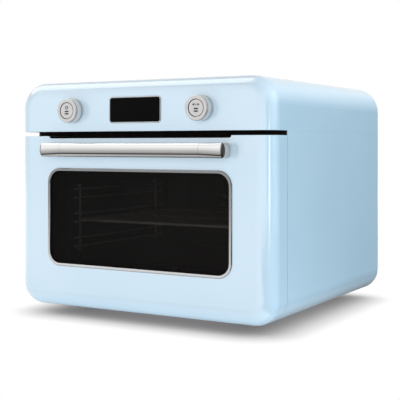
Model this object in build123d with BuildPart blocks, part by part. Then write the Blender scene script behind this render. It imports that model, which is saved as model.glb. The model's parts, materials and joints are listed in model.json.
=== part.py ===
from build123d import *
from math import asin, cos, degrees, radians, sin
import os

# Countertop toaster oven with a full-width drop-down door.
# Millimetres. +Z is up, +X is the user's right, and the front faces -Y.
# The origin is on the counter, below the middle of the overall box.

# Casing: overall form and sheet
BODY_WIDTH = 495
BODY_HEIGHT = 387
BODY_DEPTH = 481
FOOT_HEIGHT = 16
UPPER_CORNER_RADIUS = 45
LOWER_CORNER_RADIUS = 40
FRONT_EDGE_RADIUS = 28
REAR_EDGE_RADIUS = 12
SHEET = 1.2
THIN_SHEET = 1
FIT = 0.3
FLANGE = 12
SEAM_RADIUS = 0.4

# Control panel and the air slot under it
HOOD_HEIGHT = 85.5
SLOT_HEIGHT = 7.5
SLOT_NOTCH_DEPTH = 4
SLOT_NOTCH_WIDTH = 357

# Door and hinge
DOOR_DEPTH = 55
DOOR_GAP = 1
HINGE_SETBACK = 20
HINGE_HEIGHT = 35
HINGE_INSET = 37.5
HINGE_ARM_THICKNESS = 6
HINGE_ARM_HEIGHT = 16
HINGE_ARM_RISE = 2
HINGE_ARM_PLAY = 1
HINGE_EYE_RADIUS = 9
HINGE_PIN_RADIUS = 3
HINGE_PIN_HEAD = 2
HINGE_EAR_THICKNESS = 3
HINGE_SIDE_PLAY = 0.5
HINGE_FOOT_WIDTH = 16
HINGE_FOOT_HEIGHT = 44
HINGE_SCREW_SPACING = 22
HINGE_YOKE_HEIGHT = 30
RUNNING_CLEARANCE = 0.05

# Window in the door
WINDOW_SIDE_MARGIN = 67.5
WINDOW_TOP_MARGIN = 54.4
WINDOW_BOTTOM = 71.6
WINDOW_CORNER_RADIUS = 25
TRIM_WIDTH = 5.3
TRIM_SLEEVE = 1.4
TRIM_PROUD = 2.5
TRIM_EDGE_RADIUS = 1.8
GLASS_THICKNESS = 4
GLASS_OVERLAP = 10
INNER_WINDOW_MARGIN = 6
GLASS_CLIP_LENGTH = 24
GLASS_CLIP_REACH = 8

# Door handle
HANDLE_PROJECTION = 28
HANDLE_LENGTH = 353.4
HANDLE_DROP = 23.5
HANDLE_THICKNESS = 11.5
HANDLE_MIDDLE_HEIGHT = 22.8
HANDLE_END_HEIGHT = 23.8
HANDLE_FLARE_LENGTH = 42
HANDLE_END_RADIUS = 3
POST_WIDTH = 15
POST_HEIGHT = 23
POST_CORNER_RADIUS = 6.5
HANDLE_SCREW_RADIUS = 2
HANDLE_SCREW_LENGTH = 12

# Knobs and buttons
KNOB_X = 126
PANEL_CENTRE_DROP = 50.5
KNOB_PROJECTION = 18.6
KNOB_RADIUS = 20
KNOB_WALL = 5.75
KNOB_WEB = 2
KNOB_BASE_RADIUS = 16
KNOB_BASE_HEIGHT = 3
KNOB_BASE_GAP = 0.5
KNOB_GROOVE_HEIGHT = 15.6
KNOB_GROOVE = 1
KNOB_EDGE_RADIUS = 1.5
BUSH_RADIUS = 7
HUB_WALL = 3
BUTTON_GAP = 1.2
BUTTON_THICKNESS = 4.5
BUTTON_INSET = 0.4
BUTTON_STEM_RADIUS = 4
BUTTON_TRAVEL = 2
BUTTON_ROOM = 2
ENCODER_SIZE = 24

# Display and boards
DISPLAY_WIDTH = 101.4
DISPLAY_HEIGHT = 43.7
DISPLAY_CORNER_RADIUS = 6
BEZEL_WIDTH = 2
BEZEL_PROUD = 1.2
BOARD_THICKNESS = 1.6
CONTROL_BOARD_WIDTH = 320
CONTROL_BOARD_HEIGHT = 56
CONTROL_BOARD_SETBACK = 22
POWER_BOARD_WIDTH = 150
POWER_BOARD_DEPTH = 110
BOARD_STANDOFF = 8
STANDOFF_RADIUS = 4
STANDOFF_INSET = 8
RELAY_SIZE = 18
CAPACITOR_RADIUS = 9
CAPACITOR_HEIGHT = 24
CAPACITOR_COUNT = 2
RELAY_COUNT = 4
COMPONENT_PITCH = 26

# Cavity
CAVITY_SIDE_SPACE = 62.5
CAVITY_ROOF_SPACE = 37.5
CAVITY_FLOOR_HEIGHT = 52
MACHINE_SPACE = 77.5
CAVITY_CORNER_RADIUS = 18
LINER = 0.8
INSULATION = 14
GASKET_MARGIN = 4
GASKET_WIDTH = 8

# Rack and its supports
RACK_WIRE_RADIUS = 2
RACK_FRAME_RADIUS = 2.5
RACK_BAR_RADIUS = 1.5
RACK_BAR_COUNT = 15
RACK_CORNER_RADIUS = 14
RACK_SETBACK = 14
RACK_REAR_SPACE = 8
SUPPORT_STANDOFF = 9
SUPPORT_LEVELS = 3
SUPPORT_FIRST_LEVEL = 45
SUPPORT_PITCH = 43.7
SUPPORT_PAIR_SPACING = 15.4
SUPPORT_FRONT_SETBACK = 31
SUPPORT_REAR_SETBACK = 60
SUPPORT_OVERHANG = 20
SUPPORT_POST_OVERHANG = 8
SUPPORT_WELD = 0.5
RACK_SIDE_PLAY = 1.5
RACK_LEVEL = 1

# Heaters
HEATER_TUBE_RADIUS = 3.25
GRILL_DROP = 18
GRILL_LEGS = 6
GRILL_LEG_PITCH = 54
GRILL_BEND_RADIUS = 22
GRILL_FRONT_SETBACK = 40
GRILL_STRAP_WIDTH = 12
GRILL_STRAP_MARGIN = 14
HEATER_TAIL = 12
HEATER_HOLE_PLAY = 0.25
RING_MARGIN = 18
RING_SETBACK = 14
RING_TAIL_ANGLE = 20

# Convection fan, its cover and motor
FAN_COVER_WIDTH = 250
FAN_COVER_MARGIN = 18
FAN_COVER_DEPTH = 34
FAN_COVER_CORNER_RADIUS = 30
FAN_COVER_TAPER = 12
FAN_COVER_EDGE_RADIUS = 6
INTAKE_RADIUS = 32
INTAKE_SLOTS = 12
INTAKE_SLOT_LENGTH = 30
INTAKE_SLOT_WIDTH = 5
OUTLET_X = 92
OUTLET_SLOTS = 5
OUTLET_PITCH = 18
OUTLET_SLOT_LENGTH = 26
OUTLET_SLOT_WIDTH = 6
FAN_MARGIN = 14
FAN_HUB_RADIUS = 9
FAN_DEPTH = 18
FAN_SETBACK = 4
FAN_BLADES = 10
FAN_BLADE_LENGTH = 30
FAN_BLADE_ANGLE = 25
BLADE_SHEET = 1.2
SHAFT_RADIUS = 3
SHAFT_HOLE_RADIUS = 8
IMPELLER_RADIUS = 48
IMPELLER_DEPTH = 13
IMPELLER_SETBACK = 8
IMPELLER_BLADES = 14
IMPELLER_BLADE_LENGTH = 20
MOTOR_BRACKET_DEPTH = 28
MOTOR_BRACKET_WIDTH = 34
MOTOR_BRACKET_FOOT = 14
STATOR_WIDTH = 62
STATOR_HEIGHT = 54
STATOR_DEPTH = 16
STATOR_BORE_RADIUS = 12
ROTOR_AIR_GAP = 0.5
MOTOR_BRIDGE_WIDTH = 52
MOTOR_BRIDGE_HEIGHT = 14
MOTOR_BRIDGE_STANDOFF = 7
MOTOR_PILLAR_X = 21
MOTOR_PILLAR_RADIUS = 3
SHAFT_OVERRUN = 2

# Lamp and temperature probe in the cavity walls
LAMP_RADIUS = 20
LAMP_SETBACK = 100
LAMP_DROP = 60
LAMP_LENS_PROUD = 4
LAMP_FLANGE = 4
LAMP_HOLDER_LENGTH = 36
LAMP_HOLDER_RADIUS = 14
PROBE_SIDE_MARGIN = 35
PROBE_DROP = 40
PROBE_RADIUS = 2
PROBE_LENGTH = 55
PROBE_COLLAR_RADIUS = 5
PROBE_COLLAR = 3

# Rear panel, base pan and feet
REAR_RIM = 13
REAR_POCKET = 3.5
REAR_LEDGE = 11
REAR_VENT_ROWS = 4
REAR_VENT_COLUMNS = 9
VENT_LENGTH = 30
VENT_WIDTH = 5
VENT_PITCH_X = 38
VENT_PITCH_Z = 16
REAR_VENT_HEIGHT = 180
BASE_OPENING_SIDE = 57.5
BASE_OPENING_FRONT = 75
BASE_OPENING_REAR = 40
BASE_OVERLAP = 8
BASE_VENT_ROWS = 3
BASE_VENT_COLUMNS = 6
FOOT_SIDE_SETBACK = 87.5
FOOT_FRONT_SETBACK = 100
FOOT_REAR_SETBACK = 75
FOOT_RADIUS = 16
FOOT_TOP_RADIUS = 19
PAD_HEIGHT = 3
PAD_RADIUS = 14
SCREW_RADIUS = 1.7
SCREW_HEAD_RADIUS = 3.4
SCREW_HEAD_HEIGHT = 1.8
SCREW_LENGTH = 8
SINK_DEPTH = 1.4
RECESS_LENGTH = 3.6
RECESS_WIDTH = 0.8
RECESS_DEPTH = 1
REAR_SCREW_HEIGHTS = (70, 160, 250)
DOOR_SCREW_HEIGHTS = (90, 165, 240)
GLAND_X = 150
GLAND_HEIGHT = 62
GLAND_RADIUS = 7
GLAND_FLANGE_RADIUS = 10
GLAND_BORE_RADIUS = 4
GLAND_NUT_HEIGHT = 5

# Places worked out from the sizes above
HALF_WIDTH = BODY_WIDTH / 2
BODY_BOTTOM = FOOT_HEIGHT
BODY_MIDDLE = BODY_BOTTOM + BODY_HEIGHT / 2
BACK_Y = (BODY_DEPTH + HANDLE_PROJECTION) / 2
FRONT_Y = BACK_Y - BODY_DEPTH
REAR_WALL = REAR_POCKET + SHEET
BODY_TOP = BODY_BOTTOM + BODY_HEIGHT
HOOD_BOTTOM = BODY_TOP - HOOD_HEIGHT
DECK_TOP = HOOD_BOTTOM + THIN_SHEET
PANEL_Z = BODY_TOP - PANEL_CENTRE_DROP
DOOR_TOP = HOOD_BOTTOM - SLOT_HEIGHT
DOOR_INSIDE_TOP = DOOR_TOP - SLOT_NOTCH_DEPTH - SHEET
DOOR_REAR_Y = FRONT_Y + DOOR_DEPTH
DOOR_PANEL_Y = DOOR_REAR_Y - THIN_SHEET
DOOR_FLANGE_Y = DOOR_PANEL_Y - SHEET
HINGE_X = HALF_WIDTH - HINGE_INSET
HINGE_Y = FRONT_Y + HINGE_SETBACK
HINGE_Z = BODY_BOTTOM + HINGE_HEIGHT
HINGE_RADIUS = DOOR_DEPTH - HINGE_SETBACK
HINGE_ARM_TOP = HINGE_Z + HINGE_ARM_RISE + HINGE_ARM_HEIGHT
YOKE_HALF_INSIDE = HINGE_ARM_THICKNESS / 2 + HINGE_SIDE_PLAY
YOKE_HALF = YOKE_HALF_INSIDE + HINGE_EAR_THICKNESS
HINGE_FOOT_X = HINGE_X + (HINGE_ARM_THICKNESS + HINGE_FOOT_WIDTH) / 2
HINGE_SCREW_Z = HINGE_Z + HINGE_FOOT_HEIGHT / 2
CASING_FRONT_Y = DOOR_REAR_Y + DOOR_GAP
FRAME_Y = CASING_FRONT_Y + SHEET
CAVITY_FRONT_Y = FRAME_Y + SHEET
CAVITY_BACK_Y = BACK_Y - REAR_POCKET - MACHINE_SPACE
CAVITY_DEPTH = CAVITY_BACK_Y - CAVITY_FRONT_Y
CAVITY_WIDTH = BODY_WIDTH - 2 * CAVITY_SIDE_SPACE
LINER_BACK_Y = CAVITY_BACK_Y + LINER
CAVITY_FLOOR = BODY_BOTTOM + CAVITY_FLOOR_HEIGHT
CAVITY_TOP = HOOD_BOTTOM - CAVITY_ROOF_SPACE
CAVITY_HEIGHT = CAVITY_TOP - CAVITY_FLOOR
CAVITY_MIDDLE = (CAVITY_FLOOR + CAVITY_TOP) / 2
WINDOW_WIDTH = BODY_WIDTH - 2 * WINDOW_SIDE_MARGIN
WINDOW_HEIGHT = DOOR_TOP - WINDOW_TOP_MARGIN - BODY_BOTTOM - WINDOW_BOTTOM
WINDOW_Z = BODY_BOTTOM + WINDOW_BOTTOM + WINDOW_HEIGHT / 2
OUTER_GLASS_Y = FRONT_Y + SHEET
HANDLE_Z = DOOR_TOP - HANDLE_DROP
HANDLE_END_THICKNESS = HANDLE_THICKNESS * HANDLE_END_HEIGHT / HANDLE_MIDDLE_HEIGHT
HANDLE_Y = FRONT_Y - HANDLE_PROJECTION + HANDLE_END_THICKNESS / 2
POST_X = (HANDLE_LENGTH - POST_WIDTH) / 2
BOARD_Y = FRONT_Y + CONTROL_BOARD_SETBACK
SUPPORT_X = CAVITY_WIDTH / 2 - SUPPORT_STANDOFF
SUPPORT_POST_X = SUPPORT_X + 2 * RACK_WIRE_RADIUS - SUPPORT_WELD
RACK_X = SUPPORT_X - RACK_SIDE_PLAY
SUPPORT_FRONT_Y = CAVITY_FRONT_Y + SUPPORT_FRONT_SETBACK
SUPPORT_REAR_Y = CAVITY_BACK_Y - SUPPORT_REAR_SETBACK
RACK_FRONT_Y = CAVITY_FRONT_Y + RACK_SETBACK
RACK_BACK_Y = CAVITY_BACK_Y - FAN_COVER_DEPTH - RACK_REAR_SPACE
RACK_DEPTH = RACK_BACK_Y - RACK_FRONT_Y
FAN_COVER_HEIGHT = CAVITY_HEIGHT - 2 * FAN_COVER_MARGIN
RING_RADIUS = FAN_COVER_HEIGHT / 2 - RING_MARGIN
FAN_RADIUS = RING_RADIUS - FAN_MARGIN
GRILL_Z = CAVITY_TOP - GRILL_DROP
RING_Y = CAVITY_BACK_Y - RING_SETBACK
BRACKET_Y = LINER_BACK_Y + MOTOR_BRACKET_DEPTH
FRONT_BRIDGE_Y = BRACKET_Y + THIN_SHEET
STATOR_Y = FRONT_BRIDGE_Y + SHEET + MOTOR_BRIDGE_STANDOFF
REAR_BRIDGE_Y = STATOR_Y + STATOR_DEPTH + MOTOR_BRIDGE_STANDOFF
SHAFT_FRONT_Y = CAVITY_BACK_Y - FAN_SETBACK - FAN_DEPTH
SHAFT_REAR_Y = REAR_BRIDGE_Y + SHEET + SHAFT_OVERRUN
GRILL_TAIL_X = GRILL_LEG_PITCH * (GRILL_LEGS - 1) / 2
GRILL_TAIL_PLACES = [(-GRILL_TAIL_X, GRILL_Z), (GRILL_TAIL_X, GRILL_Z)]
RING_TAIL_X = RING_RADIUS * sin(radians(RING_TAIL_ANGLE))
RING_TAIL_Z = CAVITY_MIDDLE - RING_RADIUS * cos(radians(RING_TAIL_ANGLE))
RING_TAIL_PLACES = [(-RING_TAIL_X, RING_TAIL_Z), (RING_TAIL_X, RING_TAIL_Z)]
LAMP_Y = CAVITY_BACK_Y - LAMP_SETBACK
LAMP_Z = CAVITY_TOP - LAMP_DROP
PROBE_X = PROBE_SIDE_MARGIN - CAVITY_WIDTH / 2
PROBE_Z = CAVITY_TOP - PROBE_DROP
KNOB_START = KNOB_BASE_HEIGHT + KNOB_BASE_GAP
BUTTON_BACK = KNOB_PROJECTION - BUTTON_INSET - BUTTON_THICKNESS
KNOB_FLOOR = BUTTON_BACK - BUTTON_TRAVEL - BUTTON_ROOM
BUTTON_STEM_Y = BOARD_Y - BUTTON_TRAVEL - BUTTON_ROOM
REAR_PANEL_Y = BACK_Y - REAR_POCKET
REAR_SCREW_X = HALF_WIDTH - REAR_RIM - REAR_LEDGE / 2
REAR_SCREW_PLACES = [
    (x, BODY_BOTTOM + z) for x in (-REAR_SCREW_X, REAR_SCREW_X) for z in REAR_SCREW_HEIGHTS
]
DOOR_SCREW_X = HALF_WIDTH - SHEET - FLANGE / 2
DOOR_SCREW_PLACES = [
    (x, BODY_BOTTOM + z) for x in (-DOOR_SCREW_X, DOOR_SCREW_X) for z in DOOR_SCREW_HEIGHTS
]
BASE_Z = BODY_BOTTOM + SHEET
BASE_OPENING_WIDTH = BODY_WIDTH - 2 * BASE_OPENING_SIDE
BASE_FRONT_Y = FRONT_Y + BASE_OPENING_FRONT
BASE_REAR_Y = BACK_Y - BASE_OPENING_REAR
FOOT_X = HALF_WIDTH - FOOT_SIDE_SETBACK
FOOT_FRONT_Y = FRONT_Y + FOOT_FRONT_SETBACK
FOOT_REAR_Y = BACK_Y - FOOT_REAR_SETBACK
FOOT_PLACES = [(x, y) for x in (-FOOT_X, FOOT_X) for y in (FOOT_FRONT_Y, FOOT_REAR_Y)]
FAN_AXIS = Axis((0, 0, CAVITY_MIDDLE), (0, 1, 0))
SIDES = {"left": -1, "right": 1}
HINGE_SCREW_PLACES = [
    (side * HINGE_FOOT_X, HINGE_SCREW_Z + step * HINGE_SCREW_SPACING / 2)
    for side in (-1, 1) for step in (-1, 1)
]

os.makedirs("parts", exist_ok=True)


def save(builder, label):
    """Label a finished piece and write it to its own file."""
    builder.part.label = label
    export_step(builder.part, f"parts/{label}.step")


def facing_front(y):
    """A drawing plane at depth y, seen from the front: x to the right, y up."""
    return Plane.XZ.offset(-y)


def block(low, high, mode=Mode.ADD):
    """A block between two corners, put into the piece being made."""
    middle = tuple((a + b) / 2 for a, b in zip(low, high))
    size = tuple(b - a for a, b in zip(low, high))
    with Locations(middle):
        Box(*size, mode=mode)


def body_outline(inset):
    """The casing's front view, drawn in by inset."""
    with BuildSketch() as outline:
        with Locations((0, BODY_MIDDLE)):
            Rectangle(BODY_WIDTH - 2 * inset, BODY_HEIGHT - 2 * inset)
        fillet(outline.vertices().group_by(Axis.Y)[-1], UPPER_CORNER_RADIUS - inset)
        fillet(outline.vertices().group_by(Axis.Y)[0], LOWER_CORNER_RADIUS - inset)
    return outline.sketch


def body_form(inset, rear_inset):
    """The casing's rounded box, drawn in by inset, and by rear_inset at the back."""
    outline = body_outline(inset)
    with BuildPart() as form:
        with BuildSketch(facing_front(BACK_Y - rear_inset)):
            add(outline)
        extrude(amount=BODY_DEPTH - inset - rear_inset)
        fillet(form.edges().group_by(Axis.Y)[0], FRONT_EDGE_RADIUS - inset)
        fillet(form.edges().group_by(Axis.Y)[-1], REAR_EDGE_RADIUS - inset)
    return form.part


def door_zone(radius, top):
    """What a door of this rear radius fills: its lower rear corner is round about the pin."""
    front = FRONT_Y - BODY_DEPTH
    bottom = HINGE_Z - radius
    rear = HINGE_Y + radius
    with BuildPart() as zone:
        with BuildSketch(Plane.YZ.offset(-BODY_WIDTH)):
            with BuildLine():
                Polyline((HINGE_Y, bottom), (front, bottom), (front, top), (rear, top), (rear, HINGE_Z))
                CenterArc((HINGE_Y, HINGE_Z), radius, -90, 90)
            make_face()
        extrude(amount=2 * BODY_WIDTH)
    return zone.part


def sunk_screws(places, face_y, facing, mode=Mode.ADD):
    """Countersunk screws, flush at depth face_y: facing is -1 to the front, 1 to the back."""
    with Locations(*[(x, face_y - facing * SINK_DEPTH / 2, z) for x, z in places]):
        Cone(SCREW_HEAD_RADIUS, SCREW_RADIUS, SINK_DEPTH, rotation=(90 * facing, 0, 0), mode=mode)
    with Locations(*[(x, face_y - facing * SCREW_LENGTH / 2, z) for x, z in places]):
        Cylinder(SCREW_RADIUS, SCREW_LENGTH, rotation=(90, 0, 0), mode=mode)


def cross_recesses(places, face_y, facing):
    """Cross slots for a driver in screw heads whose outer face is at depth face_y."""
    with Locations(*[(x, face_y - facing * RECESS_DEPTH / 2, z) for x, z in places]):
        Box(RECESS_LENGTH, RECESS_DEPTH, RECESS_WIDTH, mode=Mode.SUBTRACT)
        Box(RECESS_WIDTH, RECESS_DEPTH, RECESS_LENGTH, mode=Mode.SUBTRACT)


def mouth_outline(margin):
    """The cavity's front view, grown by margin."""
    with BuildSketch() as outline:
        with Locations((0, CAVITY_MIDDLE)):
            RectangleRounded(CAVITY_WIDTH + 2 * margin, CAVITY_HEIGHT + 2 * margin,
                             CAVITY_CORNER_RADIUS + margin)
    return outline.sketch


def window_outline(inset):
    """The window's front view, drawn in by inset."""
    with BuildSketch() as outline:
        with Locations((0, WINDOW_Z)):
            RectangleRounded(WINDOW_WIDTH - 2 * inset, WINDOW_HEIGHT - 2 * inset,
                             WINDOW_CORNER_RADIUS - inset)
    return outline.sketch


def fan_dish(inset):
    """The fan cover's drawn form on the cavity's back wall, drawn in by inset."""
    with BuildPart() as dish:
        with BuildSketch(facing_front(CAVITY_BACK_Y)):
            with Locations((0, CAVITY_MIDDLE)):
                RectangleRounded(FAN_COVER_WIDTH - 2 * inset, FAN_COVER_HEIGHT - 2 * inset,
                                 FAN_COVER_CORNER_RADIUS - inset)
        extrude(amount=FAN_COVER_DEPTH - inset, taper=FAN_COVER_TAPER)
        fillet(dish.edges().group_by(Axis.Y)[0], FAN_COVER_EDGE_RADIUS - inset)
    return dish.part


OUTER_FORM = body_form(0, 0)
INNER_FORM = body_form(SHEET, REAR_WALL)
LINED_FORM = body_form(SHEET + FIT, REAR_WALL + FIT)
DOOR_FORM = door_zone(HINGE_RADIUS, DOOR_TOP)
DOOR_HOLLOW = door_zone(DOOR_FLANGE_Y - HINGE_Y, DOOR_INSIDE_TOP)
DOOR_CORE = INNER_FORM & DOOR_HOLLOW
DOOR_ROOM = door_zone(HINGE_RADIUS + DOOR_GAP, BODY_TOP)
REAR_PANEL_OUTLINE = body_outline(REAR_RIM + FIT)
REAR_POCKET_OUTLINE = body_outline(REAR_RIM)
REAR_OPENING_OUTLINE = body_outline(REAR_RIM + REAR_LEDGE)
FAN_DISH = fan_dish(0)
FAN_DISH_HOLLOW = fan_dish(LINER)
MOUTH_OUTLINE = mouth_outline(0)
LINER_OUTLINE = mouth_outline(LINER)
INSULATION_OUTLINE = mouth_outline(LINER + INSULATION)
GASKET_INNER_OUTLINE = mouth_outline(GASKET_MARGIN)
GASKET_OUTER_OUTLINE = mouth_outline(GASKET_MARGIN + GASKET_WIDTH)
TRIM_OUTLINE = window_outline(0)
SLEEVE_OUTLINE = window_outline(TRIM_WIDTH - TRIM_SLEEVE)
SKIN_WINDOW_OUTLINE = window_outline(TRIM_WIDTH - TRIM_SLEEVE - FIT)
SIGHT_OUTLINE = window_outline(TRIM_WIDTH)
OUTER_GLASS_OUTLINE = window_outline(TRIM_WIDTH - GLASS_OVERLAP)
INNER_WINDOW_OUTLINE = window_outline(INNER_WINDOW_MARGIN)
INNER_GLASS_OUTLINE = window_outline(INNER_WINDOW_MARGIN - GLASS_OVERLAP)


# Top cover, with the control panel as its front wall
with BuildPart() as top_cover:
    add(OUTER_FORM)
    split(bisect_by=Plane.XY.offset(HOOD_BOTTOM), keep=Keep.TOP)
    fillet(top_cover.faces().sort_by(Axis.Z)[0].edges(), SEAM_RADIUS)
    add(INNER_FORM, mode=Mode.SUBTRACT)
    with BuildSketch(facing_front(BACK_Y)):
        add(REAR_POCKET_OUTLINE)
    extrude(amount=REAR_POCKET, mode=Mode.SUBTRACT)
    with BuildSketch(facing_front(BACK_Y)):
        add(REAR_OPENING_OUTLINE)
    extrude(amount=REAR_WALL, mode=Mode.SUBTRACT)
    with BuildSketch(facing_front(FRONT_Y + SHEET)):
        with Locations((0, PANEL_Z)):
            RectangleRounded(DISPLAY_WIDTH - BEZEL_WIDTH, DISPLAY_HEIGHT - BEZEL_WIDTH,
                             DISPLAY_CORNER_RADIUS)
        with Locations((-KNOB_X, PANEL_Z), (KNOB_X, PANEL_Z)):
            Circle(BUSH_RADIUS + FIT)
    extrude(amount=SHEET, mode=Mode.SUBTRACT)
save(top_cover, "top_cover")

# Lower casing: both sides and the rounded lower corners, open at the front, top and bottom
with BuildPart() as lower_casing:
    add(OUTER_FORM)
    add(INNER_FORM, mode=Mode.SUBTRACT)
    split(bisect_by=Plane.XY.offset(HOOD_BOTTOM), keep=Keep.BOTTOM)
    seam_edges = lower_casing.edges().filter_by(Axis.Y).group_by(Axis.Z)[-1].sort_by(Axis.X)
    fillet((seam_edges[0], seam_edges[-1]), SEAM_RADIUS)
    add(DOOR_ROOM, mode=Mode.SUBTRACT)
    lip_y = HINGE_Y + HINGE_RADIUS / 2
    block((-BODY_WIDTH, FRONT_Y, 0), (BODY_WIDTH, lip_y, HINGE_Z), mode=Mode.SUBTRACT)
    with BuildSketch(facing_front(BACK_Y)):
        add(REAR_POCKET_OUTLINE)
    extrude(amount=REAR_POCKET, mode=Mode.SUBTRACT)
    with BuildSketch(facing_front(BACK_Y)):
        add(REAR_OPENING_OUTLINE)
    extrude(amount=REAR_WALL, mode=Mode.SUBTRACT)
    block((-BASE_OPENING_WIDTH / 2, BASE_FRONT_Y, 0), (BASE_OPENING_WIDTH / 2, BASE_REAR_Y, BASE_Z),
          mode=Mode.SUBTRACT)
    flange_x = HALF_WIDTH - SHEET - FLANGE
    flange_end_y = BACK_Y - REAR_WALL - REAR_EDGE_RADIUS
    for side in SIDES.values():
        near, far = sorted((side * flange_x, side * (HALF_WIDTH - SHEET)))
        block((near, CAVITY_FRONT_Y, HOOD_BOTTOM - SHEET), (far, flange_end_y, HOOD_BOTTOM))
        block((near, CASING_FRONT_Y, HINGE_Z + HINGE_ARM_HEIGHT), (far, FRAME_Y, DOOR_INSIDE_TOP))
    with BuildSketch(facing_front(REAR_PANEL_Y)):
        with Locations(*REAR_SCREW_PLACES):
            Circle(SCREW_RADIUS)
    extrude(amount=SHEET, mode=Mode.SUBTRACT)
save(lower_casing, "lower_casing")

# Deck under the control housing: it rests on the casing's top flanges and roofs the air slot
with BuildPart() as upper_deck:
    add(LINED_FORM)
    split(bisect_by=Plane.XY.offset(HOOD_BOTTOM), keep=Keep.TOP)
    split(bisect_by=Plane.XY.offset(DECK_TOP), keep=Keep.BOTTOM)
    with BuildSketch(Plane.XY.offset(HOOD_BOTTOM)):
        with Locations((0, CAVITY_BACK_Y)):
            with GridLocations(VENT_PITCH_X, VENT_PITCH_Z, BASE_VENT_COLUMNS, BASE_VENT_ROWS):
                SlotOverall(VENT_LENGTH, VENT_WIDTH)
    extrude(amount=THIN_SHEET, mode=Mode.SUBTRACT)
save(upper_deck, "upper_deck")

# Rear panel, set into the rim of the casing, with its rows of cooling slots
with BuildPart() as rear_panel:
    with BuildSketch(facing_front(REAR_PANEL_Y + THIN_SHEET)):
        add(REAR_PANEL_OUTLINE)
        with Locations((0, BODY_BOTTOM + REAR_VENT_HEIGHT)):
            with GridLocations(VENT_PITCH_X, VENT_PITCH_Z, REAR_VENT_COLUMNS, REAR_VENT_ROWS):
                SlotOverall(VENT_LENGTH, VENT_WIDTH, mode=Mode.SUBTRACT)
        with Locations(*REAR_SCREW_PLACES):
            Circle(SCREW_RADIUS, mode=Mode.SUBTRACT)
        with Locations((GLAND_X, BODY_BOTTOM + GLAND_HEIGHT)):
            Circle(GLAND_RADIUS, mode=Mode.SUBTRACT)
    extrude(amount=THIN_SHEET)
save(rear_panel, "rear_panel")

# Screws of the rear panel, their heads no prouder than the casing's rim
with BuildPart() as rear_panel_screws:
    with BuildSketch(facing_front(REAR_PANEL_Y + THIN_SHEET)):
        with Locations(*REAR_SCREW_PLACES):
            Circle(SCREW_HEAD_RADIUS)
    extrude(amount=-SCREW_HEAD_HEIGHT)
    fillet(rear_panel_screws.edges().group_by(Axis.Y)[-1], SCREW_HEAD_HEIGHT / 2)
    cross_recesses(REAR_SCREW_PLACES, REAR_PANEL_Y + THIN_SHEET + SCREW_HEAD_HEIGHT, 1)
    with BuildSketch(facing_front(REAR_PANEL_Y + THIN_SHEET)):
        with Locations(*REAR_SCREW_PLACES):
            Circle(SCREW_RADIUS)
    extrude(amount=SCREW_LENGTH)
save(rear_panel_screws, "rear_panel_screws")

# Gland in the rear panel where the supply cord would pass
with BuildPart() as cord_gland:
    with BuildSketch(facing_front(REAR_PANEL_Y + THIN_SHEET)):
        with Locations((GLAND_X, BODY_BOTTOM + GLAND_HEIGHT)):
            Circle(GLAND_FLANGE_RADIUS)
    extrude(amount=-(REAR_POCKET - THIN_SHEET))
    with BuildSketch(facing_front(REAR_PANEL_Y + THIN_SHEET)):
        with Locations((GLAND_X, BODY_BOTTOM + GLAND_HEIGHT)):
            Circle(GLAND_RADIUS)
    extrude(amount=THIN_SHEET)
    with BuildSketch(facing_front(REAR_PANEL_Y)):
        with Locations((GLAND_X, BODY_BOTTOM + GLAND_HEIGHT)):
            RegularPolygon(GLAND_FLANGE_RADIUS, 6)
    extrude(amount=GLAND_NUT_HEIGHT)
    with BuildSketch(facing_front(BACK_Y)):
        with Locations((GLAND_X, BODY_BOTTOM + GLAND_HEIGHT)):
            Circle(GLAND_BORE_RADIUS)
    extrude(amount=REAR_POCKET + GLAND_NUT_HEIGHT, mode=Mode.SUBTRACT)
save(cord_gland, "cord_gland")

# Base pan, laid on the casing's lower border, with cooling slots
with BuildPart() as base_pan:
    with BuildSketch(Plane.XY.offset(BASE_Z)):
        with Locations((0, (BASE_FRONT_Y + BASE_REAR_Y) / 2)):
            Rectangle(BASE_OPENING_WIDTH + 2 * BASE_OVERLAP,
                      BASE_REAR_Y - BASE_FRONT_Y + 2 * BASE_OVERLAP)
            with GridLocations(VENT_PITCH_X, VENT_PITCH_Z, BASE_VENT_COLUMNS, BASE_VENT_ROWS):
                SlotOverall(VENT_LENGTH, VENT_WIDTH, mode=Mode.SUBTRACT)
        with Locations(*FOOT_PLACES):
            Circle(SCREW_RADIUS, mode=Mode.SUBTRACT)
    extrude(amount=THIN_SHEET)
save(base_pan, "base_pan")

# Feet, screwed up against the base pan
with BuildPart() as feet:
    foot_height = BASE_Z - PAD_HEIGHT
    with Locations(*[(x, y, PAD_HEIGHT + foot_height / 2) for x, y in FOOT_PLACES]):
        Cone(FOOT_RADIUS, FOOT_TOP_RADIUS, foot_height)
    with Locations(*[(x, y, BASE_Z) for x, y in FOOT_PLACES]):
        Hole(SCREW_RADIUS, SCREW_LENGTH)
save(feet, "feet")

with BuildPart() as foot_pads:
    with BuildSketch():
        with Locations(*FOOT_PLACES):
            Circle(PAD_RADIUS)
    extrude(amount=PAD_HEIGHT)
save(foot_pads, "foot_pads")

with BuildPart() as foot_screws:
    with BuildSketch(Plane.XY.offset(BASE_Z + THIN_SHEET)):
        with Locations(*FOOT_PLACES):
            Circle(SCREW_HEAD_RADIUS)
    extrude(amount=SCREW_HEAD_HEIGHT)
    with BuildSketch(Plane.XY.offset(BASE_Z + THIN_SHEET)):
        with Locations(*FOOT_PLACES):
            Circle(SCREW_RADIUS)
    extrude(amount=-SCREW_LENGTH)
save(foot_screws, "foot_screws")

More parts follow.
